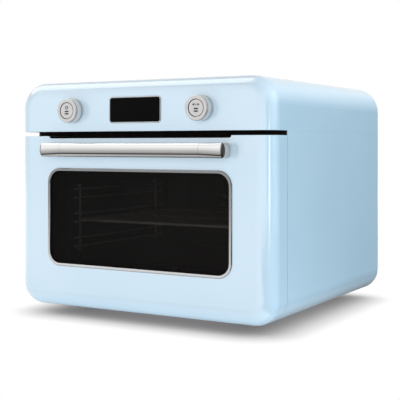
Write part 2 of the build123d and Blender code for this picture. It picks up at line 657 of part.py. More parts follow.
# Front frame round the cavity mouth, seated behind the casing's front flanges
with BuildPart() as front_frame:
    add(LINED_FORM)
    block((-BODY_WIDTH, FRAME_Y, 0), (BODY_WIDTH, CAVITY_FRONT_Y, HOOD_BOTTOM), mode=Mode.INTERSECT)
    with BuildSketch(facing_front(CAVITY_FRONT_Y)):
        add(MOUTH_OUTLINE)
    extrude(amount=SHEET, mode=Mode.SUBTRACT)
    sunk_screws(HINGE_SCREW_PLACES, CASING_FRONT_Y, -1, mode=Mode.SUBTRACT)
save(front_frame, "front_frame")

# Gasket on the frame, just clear of the shut door
with BuildPart() as door_gasket:
    with BuildSketch(facing_front(FRAME_Y)):
        add(GASKET_OUTER_OUTLINE)
        add(GASKET_INNER_OUTLINE, mode=Mode.SUBTRACT)
    extrude(amount=FRAME_Y - DOOR_REAR_Y - FIT)
save(door_gasket, "door_gasket")

# Cavity liner: one wrapped sheet, open at both ends, with a hole for the lamp
with BuildPart() as cavity_liner:
    with BuildSketch(facing_front(CAVITY_BACK_Y)):
        add(LINER_OUTLINE)
        add(MOUTH_OUTLINE, mode=Mode.SUBTRACT)
    extrude(amount=CAVITY_DEPTH)
    with BuildSketch(Plane.YZ.offset(CAVITY_WIDTH / 2)):
        with Locations((LAMP_Y, LAMP_Z)):
            Circle(LAMP_RADIUS)
    extrude(amount=LINER, mode=Mode.SUBTRACT)
save(cavity_liner, "cavity_liner")

# Back wall of the cavity, with holes for the fan shaft, the heater tails and the probe
with BuildPart() as cavity_back:
    with BuildSketch(facing_front(LINER_BACK_Y)):
        add(LINER_OUTLINE)
        with Locations((0, CAVITY_MIDDLE)):
            Circle(SHAFT_HOLE_RADIUS, mode=Mode.SUBTRACT)
        with Locations(*RING_TAIL_PLACES, *GRILL_TAIL_PLACES):
            Circle(HEATER_TUBE_RADIUS + HEATER_HOLE_PLAY, mode=Mode.SUBTRACT)
        with Locations((PROBE_X, PROBE_Z)):
            Circle(PROBE_RADIUS, mode=Mode.SUBTRACT)
    extrude(amount=LINER)
save(cavity_back, "cavity_back")

# Insulation round the liner
with BuildPart() as insulation_wrap:
    with BuildSketch(facing_front(CAVITY_BACK_Y)):
        add(INSULATION_OUTLINE)
        add(LINER_OUTLINE, mode=Mode.SUBTRACT)
    extrude(amount=CAVITY_DEPTH)
    with BuildSketch(Plane.YZ.offset(CAVITY_WIDTH / 2)):
        with Locations((LAMP_Y, LAMP_Z)):
            Circle(LAMP_RADIUS + LAMP_FLANGE + FIT)
    extrude(amount=LINER + INSULATION, mode=Mode.SUBTRACT)
save(insulation_wrap, "insulation_wrap")

# Hinge brackets on the front frame: an arm that reaches forward to the pin, and a screwed foot
for name, side in SIDES.items():
    with BuildPart() as hinge_bracket:
        with BuildSketch(Plane.YZ.offset(side * HINGE_X - HINGE_ARM_THICKNESS / 2)):
            with Locations((HINGE_Y, HINGE_Z)):
                Circle(HINGE_EYE_RADIUS)
            with Locations((FRAME_Y - SHEET / 2, HINGE_ARM_TOP - HINGE_ARM_HEIGHT / 2)):
                Rectangle(SHEET, HINGE_ARM_HEIGHT)
            make_hull()
            with Locations((HINGE_Y, HINGE_Z)):
                Circle(HINGE_PIN_RADIUS, mode=Mode.SUBTRACT)
        extrude(amount=HINGE_ARM_THICKNESS)
        foot_edges = sorted((side * HINGE_X, side * (HINGE_FOOT_X + HINGE_FOOT_WIDTH / 2)))
        block((foot_edges[0], CASING_FRONT_Y, HINGE_Z),
              (foot_edges[1], FRAME_Y, HINGE_Z + HINGE_FOOT_HEIGHT))
        sunk_screws(HINGE_SCREW_PLACES, CASING_FRONT_Y, -1, mode=Mode.SUBTRACT)
    save(hinge_bracket, f"{name}_hinge_bracket")

with BuildPart() as hinge_screws:
    sunk_screws(HINGE_SCREW_PLACES, CASING_FRONT_Y, -1)
    cross_recesses(HINGE_SCREW_PLACES, CASING_FRONT_Y, -1)
save(hinge_screws, "hinge_screws")

# Hinge pins, fixed in the brackets and running in the door's yokes
with BuildPart() as hinge_pins:
    for side in SIDES.values():
        with Locations((side * HINGE_X, HINGE_Y, HINGE_Z)):
            Cylinder(HINGE_PIN_RADIUS, 2 * (YOKE_HALF + FIT), rotation=(0, 90, 0))
        with Locations((side * (HINGE_X + YOKE_HALF + FIT + HINGE_PIN_HEAD / 2), HINGE_Y, HINGE_Z)):
            Cylinder(2 * HINGE_PIN_RADIUS, HINGE_PIN_HEAD, rotation=(0, 90, 0))
save(hinge_pins, "hinge_pins")

# Door shell: the painted skin that wraps both front corners, open at the back for the inner panel
with BuildPart() as door_shell:
    add(OUTER_FORM)
    add(DOOR_FORM, mode=Mode.INTERSECT)
    fillet(door_shell.faces().sort_by(Axis.Z)[-1].edges(), SEAM_RADIUS)
    add(DOOR_CORE, mode=Mode.SUBTRACT)
    inside_x = HALF_WIDTH - SHEET
    block((-inside_x, DOOR_PANEL_Y, HINGE_Z), (inside_x, DOOR_REAR_Y, DOOR_INSIDE_TOP),
          mode=Mode.SUBTRACT)
    block((FLANGE - inside_x, DOOR_FLANGE_Y, HINGE_ARM_TOP + FLANGE),
          (inside_x - FLANGE, DOOR_REAR_Y, DOOR_INSIDE_TOP - FLANGE), mode=Mode.SUBTRACT)
    with BuildSketch(facing_front(DOOR_REAR_Y)):
        with Locations((0, DOOR_TOP)):
            SlotOverall(SLOT_NOTCH_WIDTH, 2 * SLOT_NOTCH_DEPTH)
    extrude(amount=DOOR_DEPTH, mode=Mode.SUBTRACT)
    with BuildSketch(facing_front(OUTER_GLASS_Y)):
        add(SKIN_WINDOW_OUTLINE)
        with Locations((-POST_X, HANDLE_Z), (POST_X, HANDLE_Z)):
            Circle(HANDLE_SCREW_RADIUS)
    extrude(amount=SHEET, mode=Mode.SUBTRACT)
    for side in SIDES.values():
        slot_half = HINGE_ARM_THICKNESS / 2 + HINGE_ARM_PLAY
        block((side * HINGE_X - slot_half, HINGE_Y - HINGE_ARM_PLAY, 0),
              (side * HINGE_X + slot_half, DOOR_REAR_Y, HINGE_ARM_TOP + HINGE_ARM_PLAY), mode=Mode.SUBTRACT)
    sunk_screws(DOOR_SCREW_PLACES, DOOR_REAR_Y, 1, mode=Mode.SUBTRACT)
save(door_shell, "door_shell")

# Inner panel of the door, flush with the back of the skin
with BuildPart() as door_inner_panel:
    add(LINED_FORM)
    block((-BODY_WIDTH, DOOR_PANEL_Y, HINGE_Z + FIT), (BODY_WIDTH, DOOR_REAR_Y, DOOR_INSIDE_TOP - FIT),
          mode=Mode.INTERSECT)
    with BuildSketch(facing_front(DOOR_REAR_Y)):
        add(INNER_WINDOW_OUTLINE)
    extrude(amount=THIN_SHEET, mode=Mode.SUBTRACT)
    for side in SIDES.values():
        slot_half = HINGE_ARM_THICKNESS / 2 + HINGE_ARM_PLAY
        block((side * HINGE_X - slot_half, DOOR_PANEL_Y, 0),
              (side * HINGE_X + slot_half, DOOR_REAR_Y, HINGE_ARM_TOP + HINGE_ARM_PLAY), mode=Mode.SUBTRACT)
    sunk_screws(DOOR_SCREW_PLACES, DOOR_REAR_Y, 1, mode=Mode.SUBTRACT)
save(door_inner_panel, "door_inner_panel")

with BuildPart() as door_panel_screws:
    sunk_screws(DOOR_SCREW_PLACES, DOOR_REAR_Y, 1)
    cross_recesses(DOOR_SCREW_PLACES, DOOR_REAR_Y, 1)
save(door_panel_screws, "door_panel_screws")

# Window: bright trim round the sight glass, and a second pane on the inner panel
with BuildPart() as window_trim:
    with BuildSketch(facing_front(FRONT_Y)):
        add(TRIM_OUTLINE)
        add(SIGHT_OUTLINE, mode=Mode.SUBTRACT)
    extrude(amount=TRIM_PROUD)
    fillet(window_trim.edges().group_by(Axis.Y)[0], TRIM_EDGE_RADIUS)
    with BuildSketch(facing_front(OUTER_GLASS_Y)):
        add(SLEEVE_OUTLINE)
        add(SIGHT_OUTLINE, mode=Mode.SUBTRACT)
    extrude(amount=SHEET)
save(window_trim, "window_trim")

with BuildPart() as outer_glass:
    with BuildSketch(facing_front(OUTER_GLASS_Y + GLASS_THICKNESS)):
        add(OUTER_GLASS_OUTLINE)
    extrude(amount=GLASS_THICKNESS)
save(outer_glass, "outer_glass")

with BuildPart() as inner_glass:
    with BuildSketch(facing_front(DOOR_PANEL_Y)):
        add(INNER_GLASS_OUTLINE)
    extrude(amount=GLASS_THICKNESS)
save(inner_glass, "inner_glass")

# Clips that hold the inner pane: a leg on the panel and a lip over the glass
with BuildPart() as inner_glass_clips:
    glass_top = WINDOW_Z + WINDOW_HEIGHT / 2 - INNER_WINDOW_MARGIN + GLASS_OVERLAP
    clip_y = DOOR_PANEL_Y - GLASS_THICKNESS
    for side in SIDES.values():
        clip_x = side * WINDOW_WIDTH / 4
        with BuildSketch(Plane.YZ.offset(clip_x - GLASS_CLIP_LENGTH / 2)):
            with BuildLine():
                Polyline(
                    (DOOR_PANEL_Y, glass_top),
                    (DOOR_PANEL_Y, glass_top + THIN_SHEET),
                    (clip_y - THIN_SHEET, glass_top + THIN_SHEET),
                    (clip_y - THIN_SHEET, glass_top - GLASS_CLIP_REACH),
                    (clip_y, glass_top - GLASS_CLIP_REACH),
                    (clip_y, glass_top),
                    close=True,
                )
            make_face()
        extrude(amount=GLASS_CLIP_LENGTH)
    mirror(about=Plane.XY.offset(WINDOW_Z))
save(inner_glass_clips, "inner_glass_clips")

# Yokes inside the skin that run on the hinge pins
for name, side in SIDES.items():
    with BuildPart() as door_hinge_yoke:
        with BuildSketch(Plane.YZ.offset(side * HINGE_X - YOKE_HALF)):
            with Locations((HINGE_Y, HINGE_Z)):
                Circle(HINGE_EYE_RADIUS)
            with Locations((OUTER_GLASS_Y + SHEET / 2, HINGE_Z + HINGE_YOKE_HEIGHT / 2)):
                Rectangle(SHEET, HINGE_YOKE_HEIGHT)
            make_hull()
            with Locations((HINGE_Y, HINGE_Z)):
                Circle(HINGE_PIN_RADIUS + RUNNING_CLEARANCE, mode=Mode.SUBTRACT)
        extrude(amount=2 * YOKE_HALF)
        block((side * HINGE_X - YOKE_HALF_INSIDE, OUTER_GLASS_Y + SHEET, 0),
              (side * HINGE_X + YOKE_HALF_INSIDE, DOOR_REAR_Y, HOOD_BOTTOM), mode=Mode.SUBTRACT)
    save(door_hinge_yoke, f"{name}_door_hinge_yoke")

# Handle: a bar turned with a waist and flared ends, flattened front to back, on two posts
with BuildPart() as handle_blank:
    half_length = HANDLE_LENGTH / 2
    flare_x = half_length - HANDLE_FLARE_LENGTH
    end_radius = HANDLE_END_HEIGHT / 2
    waist_radius = HANDLE_MIDDLE_HEIGHT / 2
    shoulder_x = half_length - HANDLE_END_RADIUS
    shoulder = end_radius - HANDLE_END_RADIUS
    with BuildSketch():
        with BuildLine():
            Line((half_length, 0), (half_length, shoulder))
            CenterArc((shoulder_x, shoulder), HANDLE_END_RADIUS, 0, 90)
            Spline((shoulder_x, end_radius), (flare_x, waist_radius), tangents=((-1, 0), (-1, 0)))
            Line((flare_x, waist_radius), (0, waist_radius))
            mirror(about=Plane.YZ)
            Line((-half_length, 0), (half_length, 0))
        make_face()
    revolve(axis=Axis.X)
    scale(by=(1, HANDLE_THICKNESS / HANDLE_MIDDLE_HEIGHT, 1))

with BuildPart() as handle_bar:
    with Locations((0, HANDLE_Y, HANDLE_Z)):
        add(handle_blank.part)
save(handle_bar, "handle_bar")

with BuildPart() as handle_posts:
    with BuildSketch(facing_front(FRONT_Y)):
        with Locations((-POST_X, HANDLE_Z), (POST_X, HANDLE_Z)):
            RectangleRounded(POST_WIDTH, POST_HEIGHT, POST_CORNER_RADIUS)
    extrude(amount=FRONT_Y - HANDLE_Y)
    add(handle_bar.part, mode=Mode.SUBTRACT)
    with BuildSketch(facing_front(FRONT_Y)):
        with Locations((-POST_X, HANDLE_Z), (POST_X, HANDLE_Z)):
            Circle(HANDLE_SCREW_RADIUS)
    extrude(amount=HANDLE_SCREW_LENGTH, mode=Mode.SUBTRACT)
save(handle_posts, "handle_posts")

with BuildPart() as handle_screws:
    with BuildSketch(facing_front(OUTER_GLASS_Y)):
        with Locations((-POST_X, HANDLE_Z), (POST_X, HANDLE_Z)):
            Circle(HANDLE_SCREW_RADIUS)
    extrude(amount=SHEET + HANDLE_SCREW_LENGTH)
    with BuildSketch(facing_front(OUTER_GLASS_Y)):
        with Locations((-POST_X, HANDLE_Z), (POST_X, HANDLE_Z)):
            Circle(2 * HANDLE_SCREW_RADIUS)
    extrude(amount=-HANDLE_SCREW_RADIUS)
save(handle_screws, "handle_screws")

# Rack supports: a welded wire frame on each side wall, with a pair of rails for each level
SUPPORT_ENDS = (SUPPORT_FRONT_Y, SUPPORT_REAR_Y)
SUPPORT_RAILS = [
    CAVITY_FLOOR + SUPPORT_FIRST_LEVEL + level * SUPPORT_PITCH + step * SUPPORT_PAIR_SPACING
    for level in range(SUPPORT_LEVELS) for step in (0, 1)
]
RAIL_LENGTH = SUPPORT_REAR_Y - SUPPORT_FRONT_Y + 2 * SUPPORT_OVERHANG
SUPPORT_MIDDLE_Y = (SUPPORT_FRONT_Y + SUPPORT_REAR_Y) / 2
POST_SPAN = SUPPORT_RAILS[-1] - SUPPORT_RAILS[0] + 2 * SUPPORT_POST_OVERHANG
POST_MIDDLE = (SUPPORT_RAILS[0] + SUPPORT_RAILS[-1]) / 2
for name, side in SIDES.items():
    with BuildPart() as rack_support:
        with Locations(*[(side * SUPPORT_X, SUPPORT_MIDDLE_Y, z) for z in SUPPORT_RAILS]):
            Cylinder(RACK_WIRE_RADIUS, RAIL_LENGTH, rotation=(90, 0, 0))
        with Locations(*[(side * SUPPORT_POST_X, y, POST_MIDDLE) for y in SUPPORT_ENDS]):
            Cylinder(RACK_WIRE_RADIUS, POST_SPAN)
        stub_x = side * (CAVITY_WIDTH / 2 + SUPPORT_POST_X) / 2
        stub_places = [
            (stub_x, y, POST_MIDDLE + step * (POST_SPAN / 2 - RACK_WIRE_RADIUS))
            for y in SUPPORT_ENDS for step in (-1, 1)
        ]
        with Locations(*stub_places):
            Cylinder(RACK_WIRE_RADIUS, CAVITY_WIDTH / 2 - SUPPORT_POST_X, rotation=(0, 90, 0))
    save(rack_support, f"{name}_rack_support")

# Wire rack: a bent rod frame that lies on a pair of rails, and straight bars across it
with BuildPart() as wire_rack:
    rack_z = SUPPORT_RAILS[2 * RACK_LEVEL] + RACK_WIRE_RADIUS + RACK_FRAME_RADIUS + FIT
    rack_middle_y = (RACK_FRONT_Y + RACK_BACK_Y) / 2
    with BuildLine(Plane.XY.offset(rack_z)) as rack_path:
        FilletPolyline(
            (-RACK_X, RACK_FRONT_Y),
            (RACK_X, RACK_FRONT_Y),
            (RACK_X, RACK_BACK_Y),
            (-RACK_X, RACK_BACK_Y),
            radius=RACK_CORNER_RADIUS,
            close=True,
        )
    with BuildSketch(Plane(origin=rack_path.line @ 0, z_dir=rack_path.line % 0)):
        Circle(RACK_FRAME_RADIUS)
    sweep()
    with Locations((0, rack_middle_y, rack_z)):
        bar_pitch = 2 * RACK_X / (RACK_BAR_COUNT + 1)
        with GridLocations(bar_pitch, 1, RACK_BAR_COUNT, 1):
            Cylinder(RACK_BAR_RADIUS, RACK_DEPTH, rotation=(90, 0, 0))
        Cylinder(RACK_BAR_RADIUS, 2 * RACK_X, rotation=(0, 90, 0))
save(wire_rack, "wire_rack")

# Grill heater: one sheathed tube bent to and fro under the roof, its tails through the back wall
with BuildPart() as grill_element:
    grill_front_y = CAVITY_FRONT_Y + GRILL_FRONT_SETBACK
    grill_bend_y = CAVITY_BACK_Y - FAN_COVER_DEPTH - GRILL_BEND_RADIUS
    grill_points = []
    for leg in range(GRILL_LEGS):
        leg_x = leg * GRILL_LEG_PITCH - GRILL_TAIL_X
        rear_y = LINER_BACK_Y + HEATER_TAIL if leg in (0, GRILL_LEGS - 1) else grill_bend_y
        ends = [(leg_x, rear_y), (leg_x, grill_front_y)]
        grill_points += ends if leg % 2 == 0 else ends[::-1]
    with BuildLine(Plane.XY.offset(GRILL_Z)):
        FilletPolyline(*grill_points, radius=GRILL_BEND_RADIUS)
    with BuildSketch(Plane(origin=(-GRILL_TAIL_X, LINER_BACK_Y + HEATER_TAIL, GRILL_Z), z_dir=(0, -1, 0))):
        Circle(HEATER_TUBE_RADIUS)
    sweep()
save(grill_element, "grill_element")

# Strap that carries the grill heater, its ends turned up to the roof
with BuildPart() as grill_strap:
    strap_x = GRILL_TAIL_X + GRILL_STRAP_MARGIN
    strap_top = GRILL_Z - HEATER_TUBE_RADIUS
    strap_bottom = strap_top - THIN_SHEET
    strap_middle_y = (CAVITY_FRONT_Y + CAVITY_BACK_Y) / 2
    with BuildSketch(facing_front(strap_middle_y + GRILL_STRAP_WIDTH / 2)):
        with BuildLine():
            Polyline(
                (-strap_x, CAVITY_TOP),
                (-strap_x, strap_bottom),
                (strap_x, strap_bottom),
                (strap_x, CAVITY_TOP),
                (strap_x - THIN_SHEET, CAVITY_TOP),
                (strap_x - THIN_SHEET, strap_top),
                (THIN_SHEET - strap_x, strap_top),
                (THIN_SHEET - strap_x, CAVITY_TOP),
                close=True,
            )
        make_face()
    extrude(amount=GRILL_STRAP_WIDTH)
save(grill_strap, "grill_strap")

# Ring heater round the fan
with BuildPart() as ring_heater:
    with BuildSketch(Plane.YZ):
        with Locations((RING_Y, CAVITY_MIDDLE + RING_RADIUS)):
            Circle(HEATER_TUBE_RADIUS)
    revolve(axis=FAN_AXIS)
    with BuildSketch(facing_front(LINER_BACK_Y + HEATER_TAIL)):
        with Locations(*RING_TAIL_PLACES):
            Circle(HEATER_TUBE_RADIUS)
    extrude(amount=LINER_BACK_Y + HEATER_TAIL - RING_Y)
save(ring_heater, "ring_heater")

# Fan cover: a drawn dish on the back wall with a ring of intake slots and side outlets
with BuildPart() as fan_cover:
    add(FAN_DISH)
    add(FAN_DISH_HOLLOW, mode=Mode.SUBTRACT)
    with BuildSketch(facing_front(CAVITY_BACK_Y - FAN_COVER_DEPTH + LINER)):
        with Locations((0, CAVITY_MIDDLE)):
            with PolarLocations(INTAKE_RADIUS, INTAKE_SLOTS):
                SlotOverall(INTAKE_SLOT_LENGTH, INTAKE_SLOT_WIDTH)
        with Locations((-OUTLET_X, CAVITY_MIDDLE), (OUTLET_X, CAVITY_MIDDLE)):
            with GridLocations(1, OUTLET_PITCH, 1, OUTLET_SLOTS):
                SlotOverall(OUTLET_SLOT_LENGTH, OUTLET_SLOT_WIDTH)
    extrude(amount=LINER, mode=Mode.SUBTRACT)
save(fan_cover, "fan_cover")

# Fan rotor: one shaft carries the convection fan, the motor's rotor and the cooling impeller
with BuildPart() as fan_shaft:
    with BuildSketch(facing_front(SHAFT_REAR_Y)):
        with Locations((0, CAVITY_MIDDLE)):
            Circle(SHAFT_RADIUS)
    extrude(amount=SHAFT_REAR_Y - SHAFT_FRONT_Y)
save(fan_shaft, "fan_shaft")

with BuildPart() as convection_fan:
    fan_back = facing_front(CAVITY_BACK_Y - FAN_SETBACK)
    with BuildSketch(fan_back):
        with Locations((0, CAVITY_MIDDLE)):
            Circle(FAN_RADIUS)
    extrude(amount=BLADE_SHEET)
    with BuildSketch(fan_back):
        with Locations((0, CAVITY_MIDDLE)):
            Circle(FAN_HUB_RADIUS)
            with PolarLocations(FAN_RADIUS - FAN_BLADE_LENGTH / 2 - BLADE_SHEET, FAN_BLADES):
                Rectangle(FAN_BLADE_LENGTH, BLADE_SHEET, rotation=FAN_BLADE_ANGLE)
    extrude(amount=FAN_DEPTH)
    with BuildSketch(fan_back):
        with Locations((0, CAVITY_MIDDLE)):
            Circle(SHAFT_RADIUS)
    extrude(amount=FAN_DEPTH, mode=Mode.SUBTRACT)
save(convection_fan, "convection_fan")

with BuildPart() as cooling_impeller:
    impeller_front = facing_front(LINER_BACK_Y + IMPELLER_SETBACK + IMPELLER_DEPTH)
    with BuildSketch(impeller_front):
        with Locations((0, CAVITY_MIDDLE)):
            Circle(IMPELLER_RADIUS)
    extrude(amount=BLADE_SHEET)
    with BuildSketch(impeller_front):
        with Locations((0, CAVITY_MIDDLE)):
            Circle(FAN_HUB_RADIUS)
            with PolarLocations(IMPELLER_RADIUS - IMPELLER_BLADE_LENGTH / 2 - BLADE_SHEET, IMPELLER_BLADES):
                Rectangle(IMPELLER_BLADE_LENGTH, BLADE_SHEET, rotation=FAN_BLADE_ANGLE)
    extrude(amount=IMPELLER_DEPTH)
    with BuildSketch(impeller_front):
        with Locations((0, CAVITY_MIDDLE)):
            Circle(SHAFT_RADIUS)
    extrude(amount=IMPELLER_DEPTH, mode=Mode.SUBTRACT)
save(cooling_impeller, "cooling_impeller")

with BuildPart() as motor_rotor:
    with BuildSketch(facing_front(STATOR_Y + STATOR_DEPTH)):
        with Locations((0, CAVITY_MIDDLE)):
            Circle(STATOR_BORE_RADIUS - ROTOR_AIR_GAP)
            Circle(SHAFT_RADIUS, mode=Mode.SUBTRACT)
    extrude(amount=STATOR_DEPTH)
save(motor_rotor, "motor_rotor")

# Motor: a stator stack between two bearing bridges, hung on a strap behind the cavity
with BuildPart() as fan_motor:
    with BuildSketch(facing_front(STATOR_Y + STATOR_DEPTH)):
        with Locations((0, CAVITY_MIDDLE)):
            Rectangle(STATOR_WIDTH, STATOR_HEIGHT)
            Circle(STATOR_BORE_RADIUS, mode=Mode.SUBTRACT)
    extrude(amount=STATOR_DEPTH)
    for bridge_y in (FRONT_BRIDGE_Y, REAR_BRIDGE_Y):
        with BuildSketch(facing_front(bridge_y + SHEET)):
            with Locations((0, CAVITY_MIDDLE)):
                SlotOverall(MOTOR_BRIDGE_WIDTH, MOTOR_BRIDGE_HEIGHT)
                Circle(SHAFT_RADIUS + RUNNING_CLEARANCE, mode=Mode.SUBTRACT)
        extrude(amount=SHEET)
    with BuildSketch(facing_front(REAR_BRIDGE_Y)):
        with Locations((-MOTOR_PILLAR_X, CAVITY_MIDDLE), (MOTOR_PILLAR_X, CAVITY_MIDDLE)):
            Circle(MOTOR_PILLAR_RADIUS)
    extrude(amount=REAR_BRIDGE_Y - FRONT_BRIDGE_Y - SHEET)
save(fan_motor, "fan_motor")

with BuildPart() as motor_bracket:
    leg_x = IMPELLER_RADIUS + MOTOR_BRACKET_FOOT / 2
    foot_x = leg_x + MOTOR_BRACKET_FOOT
    with BuildSketch(Plane.XY.offset(CAVITY_MIDDLE - MOTOR_BRACKET_WIDTH / 2)):
        with BuildLine():
            Polyline(
                (-foot_x, LINER_BACK_Y),
                (-leg_x + THIN_SHEET, LINER_BACK_Y),
                (-leg_x + THIN_SHEET, BRACKET_Y),
                (leg_x - THIN_SHEET, BRACKET_Y),
                (leg_x - THIN_SHEET, LINER_BACK_Y),
                (foot_x, LINER_BACK_Y),
                (foot_x, LINER_BACK_Y + THIN_SHEET),
                (leg_x, LINER_BACK_Y + THIN_SHEET),
                (leg_x, FRONT_BRIDGE_Y),
                (-leg_x, FRONT_BRIDGE_Y),
                (-leg_x, LINER_BACK_Y + THIN_SHEET),
                (-foot_x, LINER_BACK_Y + THIN_SHEET),
                close=True,
            )
        make_face()
    extrude(amount=MOTOR_BRACKET_WIDTH)
    with BuildSketch(facing_front(FRONT_BRIDGE_Y)):
        with Locations((0, CAVITY_MIDDLE)):
            Circle(SHAFT_HOLE_RADIUS)
    extrude(amount=THIN_SHEET, mode=Mode.SUBTRACT)
save(motor_bracket, "motor_bracket")

# Oven lamp in the right-hand wall: a domed lens on a flange, and its holder outside the liner
LAMP_AXIS = Axis((0, LAMP_Y, LAMP_Z), (1, 0, 0))
with BuildPart() as lamp_lens:
    wall_x = CAVITY_WIDTH / 2
    with BuildSketch(Plane.XY.offset(LAMP_Z)):
        with BuildLine():
            dome_radius = (LAMP_RADIUS ** 2 + LAMP_LENS_PROUD ** 2) / (2 * LAMP_LENS_PROUD)
            dome_angle = degrees(asin(LAMP_RADIUS / dome_radius))
            dome = JernArc((wall_x - LAMP_LENS_PROUD, LAMP_Y), (0, 1), dome_radius, -dome_angle)
            Polyline(
                dome @ 1,
                (wall_x + LINER, LAMP_Y + LAMP_RADIUS),
                (wall_x + LINER, LAMP_Y + LAMP_RADIUS + LAMP_FLANGE),
                (wall_x + LINER + LAMP_FLANGE, LAMP_Y + LAMP_RADIUS + LAMP_FLANGE),
                (wall_x + LINER + LAMP_FLANGE, LAMP_Y),
                dome @ 0,
            )
        make_face()
    revolve(axis=LAMP_AXIS)
save(lamp_lens, "lamp_lens")

with BuildPart() as lamp_holder:
    holder_x = CAVITY_WIDTH / 2 + LINER + LAMP_FLANGE
    with BuildSketch(Plane.YZ.offset(holder_x)):
        with Locations((LAMP_Y, LAMP_Z)):
            Circle(LAMP_RADIUS)
    extrude(amount=LAMP_FLANGE)
    with BuildSketch(Plane.YZ.offset(holder_x + LAMP_FLANGE)):
        with Locations((LAMP_Y, LAMP_Z)):
            Circle(LAMP_HOLDER_RADIUS)
    extrude(amount=LAMP_HOLDER_LENGTH)
save(lamp_holder, "lamp_holder")

# Temperature probe through the back wall, with a collar outside
with BuildPart() as temperature_probe:
    with BuildSketch(facing_front(LINER_BACK_Y)):
        with Locations((PROBE_X, PROBE_Z)):
            Circle(PROBE_RADIUS)
    extrude(amount=LINER + PROBE_LENGTH)
    with BuildSketch(facing_front(LINER_BACK_Y)):
        with Locations((PROBE_X, PROBE_Z)):
            Circle(PROBE_COLLAR_RADIUS)
    extrude(amount=-PROBE_COLLAR)
save(temperature_probe, "temperature_probe")

# Display: glass in a thin bezel, its module behind, and the board that carries the controls
with BuildPart() as display_bezel:
    with BuildSketch(facing_front(FRONT_Y)):
        with Locations((0, PANEL_Z)):
            RectangleRounded(DISPLAY_WIDTH, DISPLAY_HEIGHT, DISPLAY_CORNER_RADIUS)
            RectangleRounded(DISPLAY_WIDTH - 2 * BEZEL_WIDTH, DISPLAY_HEIGHT - 2 * BEZEL_WIDTH,
                             DISPLAY_CORNER_RADIUS - BEZEL_WIDTH, mode=Mode.SUBTRACT)
    extrude(amount=BEZEL_PROUD)
    fillet(display_bezel.edges().group_by(Axis.Y)[0], BEZEL_PROUD / 2)
save(display_bezel, "display_bezel")

with BuildPart() as display_glass:
    with BuildSketch(facing_front(FRONT_Y + SHEET)):
        with Locations((0, PANEL_Z)):
            RectangleRounded(DISPLAY_WIDTH - 2 * BEZEL_WIDTH, DISPLAY_HEIGHT - 2 * BEZEL_WIDTH,
                             DISPLAY_CORNER_RADIUS - BEZEL_WIDTH)
    extrude(amount=SHEET + BEZEL_PROUD / 2)
save(display_glass, "display_glass")

with BuildPart() as display_module:
    with BuildSketch(facing_front(BOARD_Y)):
        with Locations((0, PANEL_Z)):
            Rectangle(DISPLAY_WIDTH, DISPLAY_HEIGHT)
    extrude(amount=BOARD_Y - FRONT_Y - SHEET)
save(display_module, "display_module")

with BuildPart() as control_board:
    with BuildSketch(facing_front(BOARD_Y + BOARD_THICKNESS)):
        with Locations((0, PANEL_Z)):
            Rectangle(CONTROL_BOARD_WIDTH, CONTROL_BOARD_HEIGHT)
    extrude(amount=BOARD_THICKNESS)
save(control_board, "control_board")

# Power board on the deck: standoffs, relays and capacitors
with BuildPart() as power_board:
    power_y = (FRONT_Y + BACK_Y) / 2
    with BuildSketch(Plane.XY.offset(DECK_TOP)):
        with Locations((0, power_y)):
            with GridLocations(POWER_BOARD_WIDTH - 2 * STANDOFF_INSET,
                               POWER_BOARD_DEPTH - 2 * STANDOFF_INSET, 2, 2):
                Circle(STANDOFF_RADIUS)
    extrude(amount=BOARD_STANDOFF)
    with BuildSketch(Plane.XY.offset(DECK_TOP + BOARD_STANDOFF)):
        with Locations((0, power_y)):
            Rectangle(POWER_BOARD_WIDTH, POWER_BOARD_DEPTH)
    extrude(amount=BOARD_THICKNESS)
    with BuildSketch(Plane.XY.offset(DECK_TOP + BOARD_STANDOFF + BOARD_THICKNESS)):
        with Locations((0, power_y + COMPONENT_PITCH)):
            with GridLocations(COMPONENT_PITCH, 1, RELAY_COUNT, 1):
                Rectangle(RELAY_SIZE, RELAY_SIZE)
    extrude(amount=RELAY_SIZE)
    with BuildSketch(Plane.XY.offset(DECK_TOP + BOARD_STANDOFF + BOARD_THICKNESS)):
        with Locations((0, power_y - COMPONENT_PITCH)):
            with GridLocations(COMPONENT_PITCH, 1, CAPACITOR_COUNT, 1):
                Circle(CAPACITOR_RADIUS)
    extrude(amount=CAPACITOR_HEIGHT)
save(power_board, "power_board")

